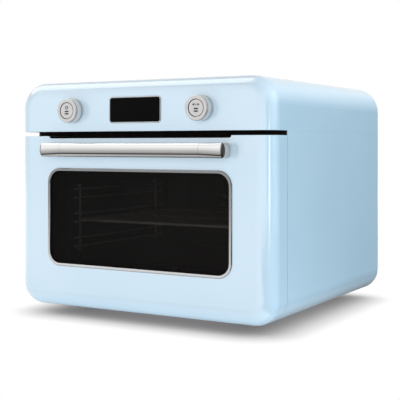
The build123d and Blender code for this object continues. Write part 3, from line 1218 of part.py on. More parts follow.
# Controls: on each side an encoder with a bush, a fixed base ring, a turning knob and a centre button
for name, side in SIDES.items():
    knob_x = side * KNOB_X
    knob_axis = Axis((knob_x, 0, PANEL_Z), (0, 1, 0))

    with BuildPart() as encoder:
        with BuildSketch(facing_front(BOARD_Y)):
            with Locations((knob_x, PANEL_Z)):
                Rectangle(ENCODER_SIZE, ENCODER_SIZE)
        extrude(amount=BOARD_Y - FRONT_Y - SHEET)
        with BuildSketch(facing_front(FRONT_Y + SHEET)):
            with Locations((knob_x, PANEL_Z)):
                Circle(BUSH_RADIUS)
        extrude(amount=SHEET + KNOB_FLOOR)
        with BuildSketch(facing_front(BOARD_Y - BUTTON_ROOM)):
            with Locations((knob_x, PANEL_Z)):
                Circle(BUTTON_STEM_RADIUS + RUNNING_CLEARANCE)
        extrude(amount=CONTROL_BOARD_SETBACK - BUTTON_ROOM + KNOB_FLOOR, mode=Mode.SUBTRACT)
    save(encoder, f"{name}_encoder")

    with BuildPart() as knob_base:
        with BuildSketch(facing_front(FRONT_Y)):
            with Locations((knob_x, PANEL_Z)):
                Circle(KNOB_BASE_RADIUS)
                Circle(BUSH_RADIUS + FIT, mode=Mode.SUBTRACT)
        extrude(amount=KNOB_BASE_HEIGHT)
        fillet(knob_base.edges().group_by(Axis.Y)[0].sort_by(SortBy.RADIUS)[-1], KNOB_EDGE_RADIUS)
    save(knob_base, f"{name}_knob_base")

    with BuildPart() as knob:
        bore = BUSH_RADIUS + RUNNING_CLEARANCE
        hub = bore + HUB_WALL
        cup = KNOB_RADIUS - KNOB_WALL
        web = KNOB_FLOOR - KNOB_WEB
        groove_low = KNOB_GROOVE_HEIGHT - KNOB_GROOVE / 2
        groove_high = KNOB_GROOVE_HEIGHT + KNOB_GROOVE / 2
        profile = [
            (bore, KNOB_START),
            (hub, KNOB_START),
            (hub, web),
            (cup, web),
            (cup, KNOB_START),
            (KNOB_RADIUS, KNOB_START),
            (KNOB_RADIUS, groove_low),
            (KNOB_RADIUS - KNOB_GROOVE, groove_low),
            (KNOB_RADIUS - KNOB_GROOVE, groove_high),
            (KNOB_RADIUS, groove_high),
            (KNOB_RADIUS, KNOB_PROJECTION),
            (cup, KNOB_PROJECTION),
            (cup, KNOB_FLOOR),
            (bore, KNOB_FLOOR),
        ]
        with BuildSketch(Plane.XY.offset(PANEL_Z)):
            with BuildLine():
                Polyline(*[(knob_x + r, FRONT_Y - out) for r, out in profile], close=True)
            make_face()
        revolve(axis=knob_axis)
        fillet(knob.edges().group_by(Axis.Y)[0].sort_by(SortBy.RADIUS)[-1], KNOB_EDGE_RADIUS)
    save(knob, f"{name}_knob")

    with BuildPart() as button:
        with BuildSketch(facing_front(FRONT_Y - BUTTON_BACK)):
            with Locations((knob_x, PANEL_Z)):
                Circle(KNOB_RADIUS - KNOB_WALL - BUTTON_GAP)
        extrude(amount=BUTTON_THICKNESS)
        fillet(button.edges().group_by(Axis.Y)[0], BUTTON_INSET)
        with BuildSketch(facing_front(BUTTON_STEM_Y)):
            with Locations((knob_x, PANEL_Z)):
                Circle(BUTTON_STEM_RADIUS)
        extrude(amount=BUTTON_STEM_Y - FRONT_Y + BUTTON_BACK)
    save(button, f"{name}_button")
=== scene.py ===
"""A pale blue countertop oven, dressed for a studio picture.

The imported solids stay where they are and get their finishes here. The raised marks on the buttons and the
plugs in the ends of the bar are modelled here too, and the floor, the lights and the camera are set. Lengths
are in metres.
"""
import json
import math

import bpy
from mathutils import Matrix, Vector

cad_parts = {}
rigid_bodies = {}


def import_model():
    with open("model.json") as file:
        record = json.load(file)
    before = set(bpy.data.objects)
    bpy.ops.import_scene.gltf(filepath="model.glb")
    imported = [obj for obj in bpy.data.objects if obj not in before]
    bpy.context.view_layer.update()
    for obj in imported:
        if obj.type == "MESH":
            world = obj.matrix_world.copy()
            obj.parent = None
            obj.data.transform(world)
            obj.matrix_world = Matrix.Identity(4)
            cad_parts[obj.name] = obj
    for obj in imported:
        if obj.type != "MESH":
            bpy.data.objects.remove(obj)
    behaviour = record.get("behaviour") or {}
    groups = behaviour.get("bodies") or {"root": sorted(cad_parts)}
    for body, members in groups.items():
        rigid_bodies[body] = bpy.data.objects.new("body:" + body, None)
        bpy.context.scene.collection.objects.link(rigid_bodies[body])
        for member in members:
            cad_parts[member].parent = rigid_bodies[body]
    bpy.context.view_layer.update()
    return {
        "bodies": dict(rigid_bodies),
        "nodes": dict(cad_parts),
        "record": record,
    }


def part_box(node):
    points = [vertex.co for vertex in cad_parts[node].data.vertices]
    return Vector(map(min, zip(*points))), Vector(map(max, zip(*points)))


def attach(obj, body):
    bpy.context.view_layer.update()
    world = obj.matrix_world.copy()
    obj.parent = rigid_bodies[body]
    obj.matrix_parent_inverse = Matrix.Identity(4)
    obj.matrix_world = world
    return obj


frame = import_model()
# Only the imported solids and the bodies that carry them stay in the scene
for thing in set(bpy.data.objects) - set(frame["nodes"].values()) - set(frame["bodies"].values()):
    bpy.data.objects.remove(thing)

# Camera, fitted to the straight edges in the picture: its turn is in degrees, its lens in millimetres
CAMERA_PLACE = (0.85276, -1.48531, 0.29582)
CAMERA_TURN = 30.296
CAMERA_LENS = 83.69
CAMERA_SHIFT_X = 0.00778
CAMERA_SHIFT_Y = -0.13904

# Studio
WHITE = (1, 1, 1, 1)
BLACK = (0, 0, 0, 1)
AMBIENT_STRENGTH = 0.32
LIGHT_AIM = (0, -0.1, 0.2)
FLAG_BLACK = (0.03, 0.03, 0.03, 1)
FLAG_GREY = (0.25, 0.25, 0.25, 1)
FLAG_FADE_FROM = 0.5

# Floor: its soft shadow, the light it throws up, which fades behind the oven to the right, and how bright
# it looks in gloss at some distances from the oven's middle
FLOOR_SIZE = 12
FLOOR_DROP = 0.0005
SHADOW_REACH = 0.066
SHADOW_SAMPLES = 32
SHADOW_DARK = (0.125, 0.125, 0.13, 1)
SHADOW_END = 0.87
FLOOR_BOUNCE = 1.25
SHADED_BOUNCE = 0.15
SHADED_WAY = (1, 1, 0)
SHADED_FROM, SHADED_TO = 0, 0.45
MIRRORED_RINGS = ((0.30, 0.8), (0.50, 1.15), (0.80, 1.3), (1.50, 1.35))
MIRRORED_REACH = 2

# Knobs, read from the solids
LEFT_BUTTON_LOW, LEFT_BUTTON_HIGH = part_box("left_button")
KNOB_X = -(LEFT_BUTTON_LOW.x + LEFT_BUTTON_HIGH.x) / 2
KNOB_Z = (LEFT_BUTTON_LOW.z + LEFT_BUTTON_HIGH.z) / 2
BUTTON_FACE_Y = LEFT_BUTTON_LOW.y
KNOB_FACE_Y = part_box("left_knob")[0].y
KNOB_EDGE = 0.0012
KNOB_SIDE_LIGHT_SHARE = 0.85
KNOB_GROOVE_BACK = 0.003
KNOB_GROOVE_HALF, KNOB_GROOVE_FADE = 0.0005, 0.0008
KNOB_GROOVE_SHADE_SHARE = 0.9

# Raised marks on the buttons
MARK_PROUD = 0.00018
MARK_SUNK = 0.00004
MARK_BACK_Y = BUTTON_FACE_Y + MARK_SUNK
MARK_EDGE = MARK_PROUD / 4
MARK_LINE = 0.0013
MARK_RING_RADIUS = 0.003
MARK_RING_RISE = 0.0052
MARK_RING_CORNERS = 48
MARK_BAR_LENGTH = 0.0088
MARK_BAR_DROPS = (0.0012, 0.0052)
MARK_BAR_CORNERS = 24
POINTER_RADIUS = 0.0025
POINTER_X = 0.0042
POINTER_RISE = 0.0052
POINTER_CORNERS = 3
DOT_RADIUS = 0.0011
DOT_CORNERS = 24

# Door, read from the solids
DOOR_LOW, DOOR_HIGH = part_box("door_shell")
NOTCH_DEPTH = 0.0043
NOTCH_HALF = 0.181
NOTCH_EDGE = 0.003
NOTCH_MARGIN = 0.00025
TRIM_LOW, TRIM_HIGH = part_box("window_trim")

# Bar on the door, read from the solids, with the seams drawn on it, and painted shade towards its lower edge
# and at its ends
BAR_LOW, BAR_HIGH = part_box("handle_bar")
BAR_HALF = BAR_HIGH.x
BAR_Y = (BAR_LOW.y + BAR_HIGH.y) / 2
BAR_Z = (BAR_LOW.z + BAR_HIGH.z) / 2
BAR_HALF_DEPTH = (BAR_HIGH.y - BAR_LOW.y) / 2
BAR_HALF_HEIGHT = (BAR_HIGH.z - BAR_LOW.z) / 2
BAR_FLARE = 0.042
BAR_RING_HALF, BAR_RING_FADE = 0.0003, 0.0007
BAR_RING_SHARE = 0.22
BAR_END_BAND = 0.003
BAR_END_SHADE_SHARE = 0.8
BAR_SEAM_DROP = 0.0059
BAR_SEAM_DIP = 0.0018
BAR_SEAM_HALF, BAR_SEAM_FADE = 0.0007, 0.0013
BAR_SEAM_SHARE = 0.95
BAR_PAINTED_SHADE_RISE = 0.0115
BAR_PAINTED_SHADE_BELOW, BAR_PAINTED_SHADE_ABOVE = 0.4, 0.8

# Plugs in the ends of the bar
PLUG_INSET = 0.0031
PLUG_PROUD = 0.0006
PLUG_EDGE = PLUG_PROUD / 2
PLUG_CORNERS = 64

# Steps in the eased edges of marks and plugs
EDGE_STEPS = 2


class Nodes:
    """A tree of shader nodes, with short ways to add nodes and join them."""

    def __init__(self, tree):
        self.tree = tree

    def add(self, kind, values=None):
        node = self.tree.nodes.new("ShaderNode" + kind)
        for socket, value in (values or {}).items():
            node.inputs[socket].default_value = value
        return node

    def join(self, source, target):
        self.tree.links.new(source, target)

    def work(self, operation, first, second=0):
        """The result of one sum on two values, each a number or a socket."""
        node = self.add("Math")
        node.operation = operation
        for socket, value in zip(node.inputs, (first, second)):
            if isinstance(value, (int, float)):
                socket.default_value = value
            else:
                self.join(value, socket)
        return node.outputs[0]

    def point_work(self, operation, first, second=(0, 0, 0)):
        """The results of one sum on two points: the Vector, or the Value of a length or a product."""
        node = self.add("VectorMath", {1: second})
        node.operation = operation
        self.join(first, node.inputs[0])
        return node.outputs

    def split(self, point):
        """The separate X, Y and Z of a point."""
        node = self.add("SeparateXYZ")
        self.join(point, node.inputs["Vector"])
        return node.outputs

    def spread(self, value, low, high, start=0.3, end=0.7):
        """Turns a value between start and end into one between low and high."""
        node = self.add("MapRange", {"From Min": start, "From Max": end, "To Min": low, "To Max": high})
        self.join(value, node.inputs["Value"])
        return node.outputs["Result"]

    def ramp(self, value, stops):
        """Runs through colours as the value goes through the places of their stops."""
        node = self.add("ValToRGB")
        elements = node.color_ramp.elements
        while len(elements) < len(stops):
            elements.new(1)
        for element, (place, colour) in zip(elements, stops):
            element.position = place
            element.color = colour
        self.join(value, node.inputs["Fac"])
        return node.outputs["Color"]


class Finish(Nodes):
    """A material in the making, with short ways to set what its shader shows."""

    def __init__(self, name, sockets):
        self.material = bpy.data.materials.new(name)
        self.material.use_nodes = True
        super().__init__(self.material.node_tree)
        self.shader = self.tree.nodes["Principled BSDF"]
        for socket, value in sockets.items():
            self.shader.inputs[socket].default_value = value

    def spot(self):
        """The point on the piece."""
        return self.add("TexCoord").outputs["Object"]

    def pattern(self, kind, values, stretch=(1, 1, 1)):
        """The outputs of a texture on the piece, stretched along the axes."""
        mapping = self.add("Mapping", {"Scale": stretch})
        texture = self.add(kind, values)
        self.join(self.spot(), mapping.inputs["Vector"])
        self.join(mapping.outputs["Vector"], texture.inputs["Vector"])
        return texture.outputs

    def grain(self, scale, detail, stretch=(1, 1, 1)):
        return self.pattern("TexNoise", {"Scale": scale, "Detail": detail}, stretch)["Fac"]

    def line(self, offset, share, half, fade):
        """The share of a drawn line, whole up to half its width from the middle and gone at the fade."""
        return self.spread(self.work("ABSOLUTE", offset), share, 0, half, fade)

    def tint(self, value, low, high, start=0.3, end=0.7):
        """Runs from one colour to another as the value goes from start to end."""
        self.join(self.ramp(value, ((start, low), (end, high))), self.shader.inputs["Base Color"])

    def overlay(self, share, colour):
        """Lays a second colour over the first where the share is one."""
        base = self.shader.inputs["Base Color"]
        mix = self.add("MixRGB", {"Color2": colour})
        self.join(share, mix.inputs["Fac"])
        self.join(base.links[0].from_socket, mix.inputs["Color1"])
        self.join(mix.outputs["Color"], base)

    def rough(self, value, low, high, start=0.3, end=0.7):
        self.join(self.spread(value, low, high, start, end), self.shader.inputs["Roughness"])

    def bump(self, height, depth, strength):
        node = self.add("Bump", {"Distance": depth, "Strength": strength})
        self.join(height, node.inputs["Height"])
        self.join(node.outputs["Normal"], self.shader.inputs["Normal"])


def blue_enamel():
    """Glossy enamel, with painted shade: black inside the notch along the top of the door."""
    finish = Finish("blue_enamel", {"IOR": 2, "Specular IOR Level": 0.75, "Coat Weight": 0.6,
                                    "Coat Roughness": 0.05})
    cloud = finish.grain(scale=7, detail=2)
    finish.tint(cloud, (0.43, 0.638, 0.805, 1), (0.45, 0.658, 0.825, 1))
    x, y, z = finish.split(finish.spot())
    # Painted shade: the enamel turns black on the surfaces inside the notch
    across = finish.work("LESS_THAN", finish.work("ABSOLUTE", x), NOTCH_HALF)
    behind = finish.work("GREATER_THAN", y, DOOR_LOW.y + NOTCH_EDGE)
    depth = finish.work("ABSOLUTE", finish.work("SUBTRACT", z, DOOR_HIGH.z - NOTCH_DEPTH / 2))
    between = finish.work("LESS_THAN", depth, NOTCH_DEPTH / 2 - NOTCH_MARGIN)
    notch_shade = finish.work("MULTIPLY", across, finish.work("MULTIPLY", behind, between))
    finish.overlay(notch_shade, (0.009, 0.009, 0.009, 1))
    finish.rough(finish.grain(scale=35, detail=3), 0.2, 0.27)
    finish.bump(finish.grain(scale=260, detail=2), depth=0.00004, strength=0.35)
    return finish.material


def dark_cavity_enamel():
    """Black enamel with fine pale flecks, inside the oven."""
    finish = Finish("dark_cavity_enamel", {"Coat Weight": 0.3, "Coat Roughness": 0.1})
    fleck = finish.grain(scale=900, detail=2)
    finish.tint(fleck, (0.002, 0.002, 0.0022, 1), (0.014, 0.014, 0.015, 1), start=0.60, end=0.74)
    finish.rough(finish.grain(scale=60, detail=3), 0.3, 0.42)
    finish.bump(finish.grain(scale=420, detail=2), depth=0.00005, strength=0.4)
    return finish.material


def matt_black_coat():
    """The dull heat-proof coat on the sheets behind the air slot."""
    finish = Finish("matt_black_coat", {"Specular IOR Level": 0.05})
    finish.tint(finish.grain(scale=80, detail=3), (0.014, 0.014, 0.014, 1), (0.02, 0.02, 0.02, 1))
    finish.rough(finish.grain(scale=300, detail=3), 0.75, 0.9)
    finish.bump(finish.grain(scale=1500, detail=2), depth=0.00005, strength=0.5)
    return finish.material


def pressed_sheet():
    """Zinc-plated sheet with its crystal pattern and faint rolling lines."""
    finish = Finish("pressed_sheet", {"Metallic": 1})
    crystals = finish.pattern("TexVoronoi", {"Scale": 140})["Color"]
    finish.tint(crystals, (0.50, 0.51, 0.52, 1), (0.59, 0.6, 0.61, 1), start=0.1, end=0.9)
    finish.rough(crystals, 0.42, 0.5, start=0.1, end=0.9)
    finish.bump(finish.grain(scale=500, detail=2, stretch=(0.05, 1, 1)), depth=0.00004, strength=0.3)
    return finish.material


def bright_steel():
    finish = Finish("bright_steel", {"Metallic": 1})
    finish.tint(finish.grain(scale=180, detail=3), (0.55, 0.55, 0.56, 1), (0.68, 0.68, 0.69, 1))
    finish.rough(finish.grain(scale=400, detail=3), 0.18, 0.32)
    return finish.material


def polished_chrome():
    finish = Finish("polished_chrome", {"Metallic": 1})
    finish.tint(finish.grain(scale=40, detail=2), (0.30, 0.31, 0.32, 1), (0.36, 0.37, 0.38, 1))
    finish.rough(finish.grain(scale=150, detail=3), 0.06, 0.13)
    return finish.material


def window_chrome_painted_reflection():
    """Chrome of the window's trim with a painted reflection: brighter towards its lower edge, darker towards
    its top.
    """
    finish = Finish("window_chrome_painted_reflection", {"Metallic": 1})
    # Painted reflection: the colour runs from bright at the trim's bottom to dark at its top
    rise = finish.spread(finish.split(finish.spot())["Z"], 0, 1, TRIM_LOW.z, TRIM_HIGH.z)
    finish.tint(rise, (0.47, 0.475, 0.48, 1), (0.225, 0.23, 0.235, 1), start=0.05, end=0.65)
    finish.rough(finish.grain(scale=150, detail=3), 0.06, 0.13)
    return finish.material


def rack_wire():
    """Plated wire, a little dulled by heat."""
    finish = Finish("rack_wire", {"Metallic": 0.25})
    finish.tint(finish.grain(scale=25, detail=3), (0.74, 0.73, 0.71, 1), (0.88, 0.88, 0.88, 1))
    finish.rough(finish.grain(scale=120, detail=3), 0.14, 0.3)
    return finish.material


def brushed_bar():
    """Satin metal brushed along the bar, with a seam low on its front, ring seams, painted shade that
    darkens it towards the seam and below it, and ends darkened by painted shade.
    """
    finish = Finish("brushed_bar", {"Metallic": 1})
    brushing = finish.grain(scale=600, detail=4, stretch=(0.012, 1, 1))
    finish.tint(brushing, (0.56, 0.56, 0.555, 1), (0.64, 0.64, 0.635, 1))
    spot = finish.split(finish.spot())
    run = finish.work("ABSOLUTE", spot["X"])
    dip = finish.spread(run, 0, BAR_SEAM_DIP, BAR_HALF - BAR_FLARE, BAR_HALF - BAR_END_BAND)
    level = finish.work("SUBTRACT", finish.work("ADD", spot["Z"], dip), BAR_Z - BAR_SEAM_DROP)
    above = finish.work("GREATER_THAN", level, 0)
    # Painted shade: the bar darkens towards the seam and stays darker below it
    shade = finish.work("MULTIPLY", finish.spread(above, BAR_PAINTED_SHADE_BELOW, BAR_PAINTED_SHADE_ABOVE, 0, 1),
                        finish.spread(level, 1, 0, 0, BAR_PAINTED_SHADE_RISE))
    finish.overlay(shade, (0.05, 0.045, 0.04, 1))
    seam = finish.line(level, BAR_SEAM_SHARE, BAR_SEAM_HALF, BAR_SEAM_FADE)
    from_ring = finish.work("SUBTRACT", run, BAR_HALF - BAR_FLARE)
    ring = finish.line(from_ring, BAR_RING_SHARE, BAR_RING_HALF, BAR_RING_FADE)
    # Painted shade on the last few millimetres of each end of the bar
    end = finish.spread(run, 0, BAR_END_SHADE_SHARE, BAR_HALF - BAR_END_BAND, BAR_HALF - BAR_END_BAND / 2)
    finish.overlay(finish.work("MAXIMUM", seam, finish.work("MAXIMUM", ring, end)), (0.02, 0.02, 0.02, 1))
    finish.rough(brushing, 0.2, 0.3)
    finish.bump(brushing, depth=0.00003, strength=0.25)
    return finish.material


def satin_metal():
    """Plain satin metal with a fine even grain."""
    finish = Finish("satin_metal", {"Metallic": 0.5})
    finish.tint(finish.grain(scale=120, detail=3), (0.44, 0.44, 0.435, 1), (0.52, 0.52, 0.515, 1))
    finish.rough(finish.grain(scale=500, detail=3), 0.3, 0.4)
    return finish.material


def turned_face():
    """Satin metal turned on a lathe: fine rings round each knob's axis, a side made paler by painted light
    and a dark line of painted groove shade.
    """
    finish = Finish("turned_face", {"Metallic": 0.9})
    spot = finish.spot()
    either_side = finish.point_work("ABSOLUTE", spot)["Vector"]
    from_axis = finish.point_work("SUBTRACT", either_side, (KNOB_X, 0, KNOB_Z))["Vector"]
    flat = finish.point_work("MULTIPLY", from_axis, (1, 0, 1))["Vector"]
    turning = finish.add("TexNoise", {"Scale": 2600, "Detail": 3})
    turning.noise_dimensions = "1D"
    finish.join(finish.point_work("LENGTH", flat)["Value"], turning.inputs["W"])
    rings = turning.outputs["Fac"]
    finish.tint(rings, (0.43, 0.43, 0.43, 1), (0.51, 0.51, 0.51, 1))
    depth = finish.work("SUBTRACT", finish.split(spot)["Y"], KNOB_FACE_Y)
    # Painted light: the knob's side is laid over with a paler, warm colour
    side = finish.spread(depth, 0, KNOB_SIDE_LIGHT_SHARE, KNOB_EDGE / 2, KNOB_EDGE)
    finish.overlay(side, (0.84, 0.79, 0.74, 1))
    # Painted shade: a dark line round the knob's side where a groove would lie in shadow
    from_groove = finish.work("SUBTRACT", depth, KNOB_GROOVE_BACK)
    groove_shade = finish.line(from_groove, KNOB_GROOVE_SHADE_SHARE, KNOB_GROOVE_HALF, KNOB_GROOVE_FADE)
    finish.overlay(groove_shade, (0.03, 0.03, 0.03, 1))
    finish.rough(rings, 0.3, 0.42)
    finish.bump(rings, depth=0.00002, strength=0.3)
    return finish.material


def smoked_glass():
    finish = Finish("smoked_glass", {"Alpha": 0.5, "Specular IOR Level": 0.02})
    finish.tint(finish.grain(scale=5, detail=2), (0.006, 0.006, 0.006, 1), (0.009, 0.009, 0.009, 1))
    finish.rough(finish.grain(scale=30, detail=3), 0.03, 0.06)
    return finish.material


def clear_glass():
    finish = Finish("clear_glass", {"Alpha": 0.12, "Specular IOR Level": 0.3})
    finish.tint(finish.grain(scale=5, detail=2), (0.06, 0.07, 0.068, 1), (0.08, 0.09, 0.088, 1))
    finish.rough(finish.grain(scale=30, detail=3), 0.02, 0.05)
    return finish.material


def display_glass():
    finish = Finish("display_glass", {"Specular IOR Level": 0.02})
    finish.tint(finish.grain(scale=9, detail=2), (0.0022, 0.0022, 0.0025, 1), (0.0032, 0.0032, 0.0036, 1))
    finish.rough(finish.grain(scale=40, detail=3), 0.05, 0.09)
    return finish.material


def heater_sheath():
    """Metal tube darkened unevenly by heat."""
    finish = Finish("heater_sheath", {"Metallic": 0.7})
    finish.tint(finish.grain(scale=60, detail=4), (0.035, 0.033, 0.032, 1), (0.13, 0.12, 0.11, 1))
    finish.rough(finish.grain(scale=200, detail=3), 0.45, 0.7)
    finish.bump(finish.grain(scale=700, detail=3), depth=0.00008, strength=0.4)
    return finish.material


def fibre_blanket():
    finish = Finish("fibre_blanket", {"Sheen Weight": 0.2})
    fibres = finish.grain(scale=260, detail=6, stretch=(1, 0.25, 1))
    finish.tint(fibres, (0.55, 0.5, 0.38, 1), (0.78, 0.74, 0.62, 1))
    finish.rough(fibres, 0.85, 0.95)
    finish.bump(fibres, depth=0.0015, strength=0.7)
    return finish.material


def woven_gasket():
    finish = Finish("woven_gasket", {})
    weave = finish.pattern("TexWave", {"Scale": 240, "Distortion": 1.5, "Detail": 2})["Fac"]
    finish.tint(weave, (0.03, 0.03, 0.03, 1), (0.09, 0.09, 0.09, 1), start=0.2, end=0.8)
    finish.rough(weave, 0.6, 0.8)
    finish.bump(weave, depth=0.0004, strength=0.6)
    return finish.material


def grey_plastic():
    """The dull grey of the feet and their pads."""
    finish = Finish("grey_plastic", {"Specular IOR Level": 0.2})
    finish.tint(finish.grain(scale=200, detail=3), (0.17, 0.17, 0.175, 1), (0.21, 0.21, 0.215, 1))
    finish.rough(finish.grain(scale=150, detail=3), 0.6, 0.75)
    finish.bump(finish.grain(scale=900, detail=2), depth=0.00006, strength=0.5)
    return finish.material


def matt_rubber():
    finish = Finish("matt_rubber", {})
    finish.tint(finish.grain(scale=300, detail=4), (0.018, 0.018, 0.018, 1), (0.03, 0.03, 0.03, 1))
    finish.rough(finish.grain(scale=90, detail=3), 0.7, 0.85)
    finish.bump(finish.grain(scale=900, detail=2), depth=0.0001, strength=0.5)
    return finish.material


def grained_plastic():
    """Black plastic with a fine moulded grain."""
    finish = Finish("grained_plastic", {"Specular IOR Level": 0.4})
    finish.tint(finish.grain(scale=40, detail=2), (0.016, 0.016, 0.017, 1), (0.024, 0.024, 0.025, 1))
    finish.rough(finish.grain(scale=120, detail=2), 0.42, 0.55)
    finish.bump(finish.grain(scale=1200, detail=2), depth=0.00006, strength=0.6)
    return finish.material


def green_laminate():
    """Circuit board with paler tracks."""
    finish = Finish("green_laminate", {"Coat Weight": 0.2})
    tracks = finish.pattern("TexBrick", {"Scale": 160, "Color1": (0.02, 0.12, 0.05, 1),
                                         "Color2": (0.03, 0.16, 0.07, 1), "Mortar": (0.06, 0.26, 0.12, 1)})
    finish.join(tracks["Color"], finish.shader.inputs["Base Color"])
    finish.rough(finish.grain(scale=90, detail=2), 0.35, 0.5)
    return finish.material


def printed_ink():
    finish = Finish("printed_ink", {"Specular IOR Level": 0.3})
    finish.tint(finish.grain(scale=900, detail=2), (0.02, 0.02, 0.02, 1), (0.04, 0.04, 0.04, 1))
    finish.rough(finish.grain(scale=700, detail=2), 0.5, 0.65)
    return finish.material


def dress_solids(black_plastic):
    """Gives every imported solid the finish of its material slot, or one of its own."""
    slot_finish = {
        "paint": blue_enamel(),
        "liner_steel": dark_cavity_enamel(),
        "plain_steel": pressed_sheet(),
        "bright_steel": bright_steel(),
        "chrome": polished_chrome(),
        "satin_aluminium": turned_face(),
        "dark_glass": smoked_glass(),
        "clear_glass": clear_glass(),
        "display_glass": display_glass(),
        "heater_sheath": heater_sheath(),
        "insulation": fibre_blanket(),
        "gasket": woven_gasket(),
        "rubber": matt_rubber(),
        "black_plastic": black_plastic,
        "circuit_board": green_laminate(),
    }
    wire = rack_wire()
    black_coat = matt_black_coat()
    grey = grey_plastic()
    node_finish = {
        "handle_bar": brushed_bar(),
        "handle_posts": satin_metal(),
        "window_trim": window_chrome_painted_reflection(),
        "wire_rack": wire,
        "left_rack_support": wire,
        "right_rack_support": wire,
        "front_frame": black_coat,
        "upper_deck": black_coat,
        "inner_glass_clips": black_coat,
        "feet": grey,
        "foot_pads": grey,
    }
    for subpart in frame["record"]["subparts"]:
        name = subpart["node"]
        material = node_finish.get(name, slot_finish[subpart["material_slot"]])
        frame["nodes"][name].material_slots[0].material = material


def hand_over(piece, name, material, body):
    """Puts a new piece's place into its mesh and hands the piece to the body that carries it."""
    bpy.ops.object.transform_apply(location=True, rotation=True, scale=True)
    piece.name = name
    piece.data.materials.append(material)
    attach(piece, body)


def raise_face(height, edge):
    """Lifts the selected flat face of the piece being edited into a thin plate with an eased edge."""
    bpy.ops.mesh.extrude_region_move(TRANSFORM_OT_translate={"value": height})
    bpy.ops.mesh.select_all(action="SELECT")
    bpy.ops.mesh.normals_make_consistent(inside=False)
    bpy.ops.mesh.bevel(offset=edge, segments=EDGE_STEPS, affect="EDGES")
    bpy.ops.object.mode_set(mode="OBJECT")


def flat_mark(corners, radius, x, rise, stretch=1, hollow=False, turn=0):
    """One raised mark on a button: a plate of so many corners, stretched along x, or a ring."""
    bpy.ops.object.select_all(action="DESELECT")
    bpy.ops.mesh.primitive_circle_add(vertices=corners, radius=radius, fill_type="NGON",
                                      location=(x, MARK_BACK_Y, KNOB_Z + rise),
                                      rotation=(math.radians(90), turn, 0))
    mark = bpy.context.object
    mark.scale = (stretch, 1, 1)
    bpy.ops.object.transform_apply(location=False, rotation=False, scale=True)
    bpy.ops.object.mode_set(mode="EDIT")
    bpy.ops.mesh.select_all(action="SELECT")
    if hollow:
        bpy.ops.mesh.inset(thickness=MARK_LINE)
        bpy.ops.mesh.delete(type="FACE")
        bpy.ops.mesh.select_all(action="SELECT")
    raise_face((0, -MARK_PROUD - MARK_SUNK, 0), MARK_EDGE)
    return mark


def mark_lines(x):
    """Two short flat ovals, one under the other."""
    stretch = MARK_BAR_LENGTH / MARK_LINE / 2
    return [flat_mark(MARK_BAR_CORNERS, MARK_LINE, x, -drop, stretch=stretch) for drop in MARK_BAR_DROPS]


def join_marks(marks, name, ink, body):
    bpy.ops.object.select_all(action="DESELECT")
    for mark in marks:
        mark.select_set(True)
    bpy.context.view_layer.objects.active = marks[0]
    bpy.ops.object.join()
    hand_over(marks[0], name, ink, body)


def mark_buttons(ink):
    """Two lines on each button, under a ring on the left and a dot between two pointers on the right."""
    ring = flat_mark(MARK_RING_CORNERS, MARK_RING_RADIUS, -KNOB_X, MARK_RING_RISE, hollow=True)
    join_marks([ring] + mark_lines(-KNOB_X), "left_button_marks", ink, "left_button")
    pointers = [
        flat_mark(POINTER_CORNERS, POINTER_RADIUS, KNOB_X + side * POINTER_X, POINTER_RISE,
                  turn=math.radians(side * 90))
        for side in (-1, 1)
    ]
    dot = flat_mark(DOT_CORNERS, DOT_RADIUS, KNOB_X, POINTER_RISE)
    join_marks([*pointers, dot] + mark_lines(KNOB_X), "right_button_marks", ink, "right_button")


def plug_and_shade_bar_ends(black_plastic):
    """A thin dark plastic plug over each flat end of the bar: a cap whose darkness also stands in as painted
    shade on the ends.
    """
    half_height = BAR_HALF_HEIGHT - PLUG_INSET
    half_depth = half_height * BAR_HALF_DEPTH / BAR_HALF_HEIGHT
    for name, side in (("left", -1), ("right", 1)):
        bpy.ops.object.select_all(action="DESELECT")
        bpy.ops.mesh.primitive_circle_add(vertices=PLUG_CORNERS, radius=1, fill_type="NGON",
                                          location=(side * BAR_HALF, BAR_Y, BAR_Z),
                                          rotation=(0, math.radians(side * 90), 0))
        plug = bpy.context.object
        plug.scale = (half_height, half_depth, 1)
        bpy.ops.object.transform_apply(location=False, rotation=False, scale=True)
        bpy.ops.object.mode_set(mode="EDIT")
        bpy.ops.mesh.select_all(action="SELECT")
        raise_face((side * PLUG_PROUD, 0, 0), PLUG_EDGE)
        hand_over(plug, f"{name}_bar_plug", black_plastic, "door")


def show_by_ray(nodes, light, background, output):
    """Shows the background to the camera, in gloss and through glass, and the light to all else."""
    rays = nodes.add("LightPath").outputs
    seen = nodes.work("MAXIMUM", rays["Is Camera Ray"], rays["Is Glossy Ray"])
    mix = nodes.add("MixShader")
    nodes.join(nodes.work("MAXIMUM", seen, rays["Is Transmission Ray"]), mix.inputs["Fac"])
    nodes.join(light.outputs[0], mix.inputs[1])
    nodes.join(background.outputs[0], mix.inputs[2])
    nodes.join(mix.outputs[0], output.inputs["Surface"])


def set_world():
    """A white background that lights the oven more dimly than it looks."""
    world = bpy.data.worlds.new("studio")
    bpy.context.scene.world = world
    world.use_nodes = True
    sky = Nodes(world.node_tree)
    sky.tree.nodes.clear()
    ambient = sky.add("Background", {"Color": WHITE, "Strength": AMBIENT_STRENGTH})
    white = sky.add("Background", {"Color": WHITE})
    show_by_ray(sky, ambient, white, sky.add("OutputWorld"))


def floor_shadow(paper):
    """Dark where the oven stands close over the floor, and white further out."""
    closeness = paper.add("AmbientOcclusion", {"Distance": SHADOW_REACH})
    closeness.samples = SHADOW_SAMPLES
    return paper.ramp(closeness.outputs["AO"], ((0, SHADOW_DARK), (SHADOW_END, WHITE)))


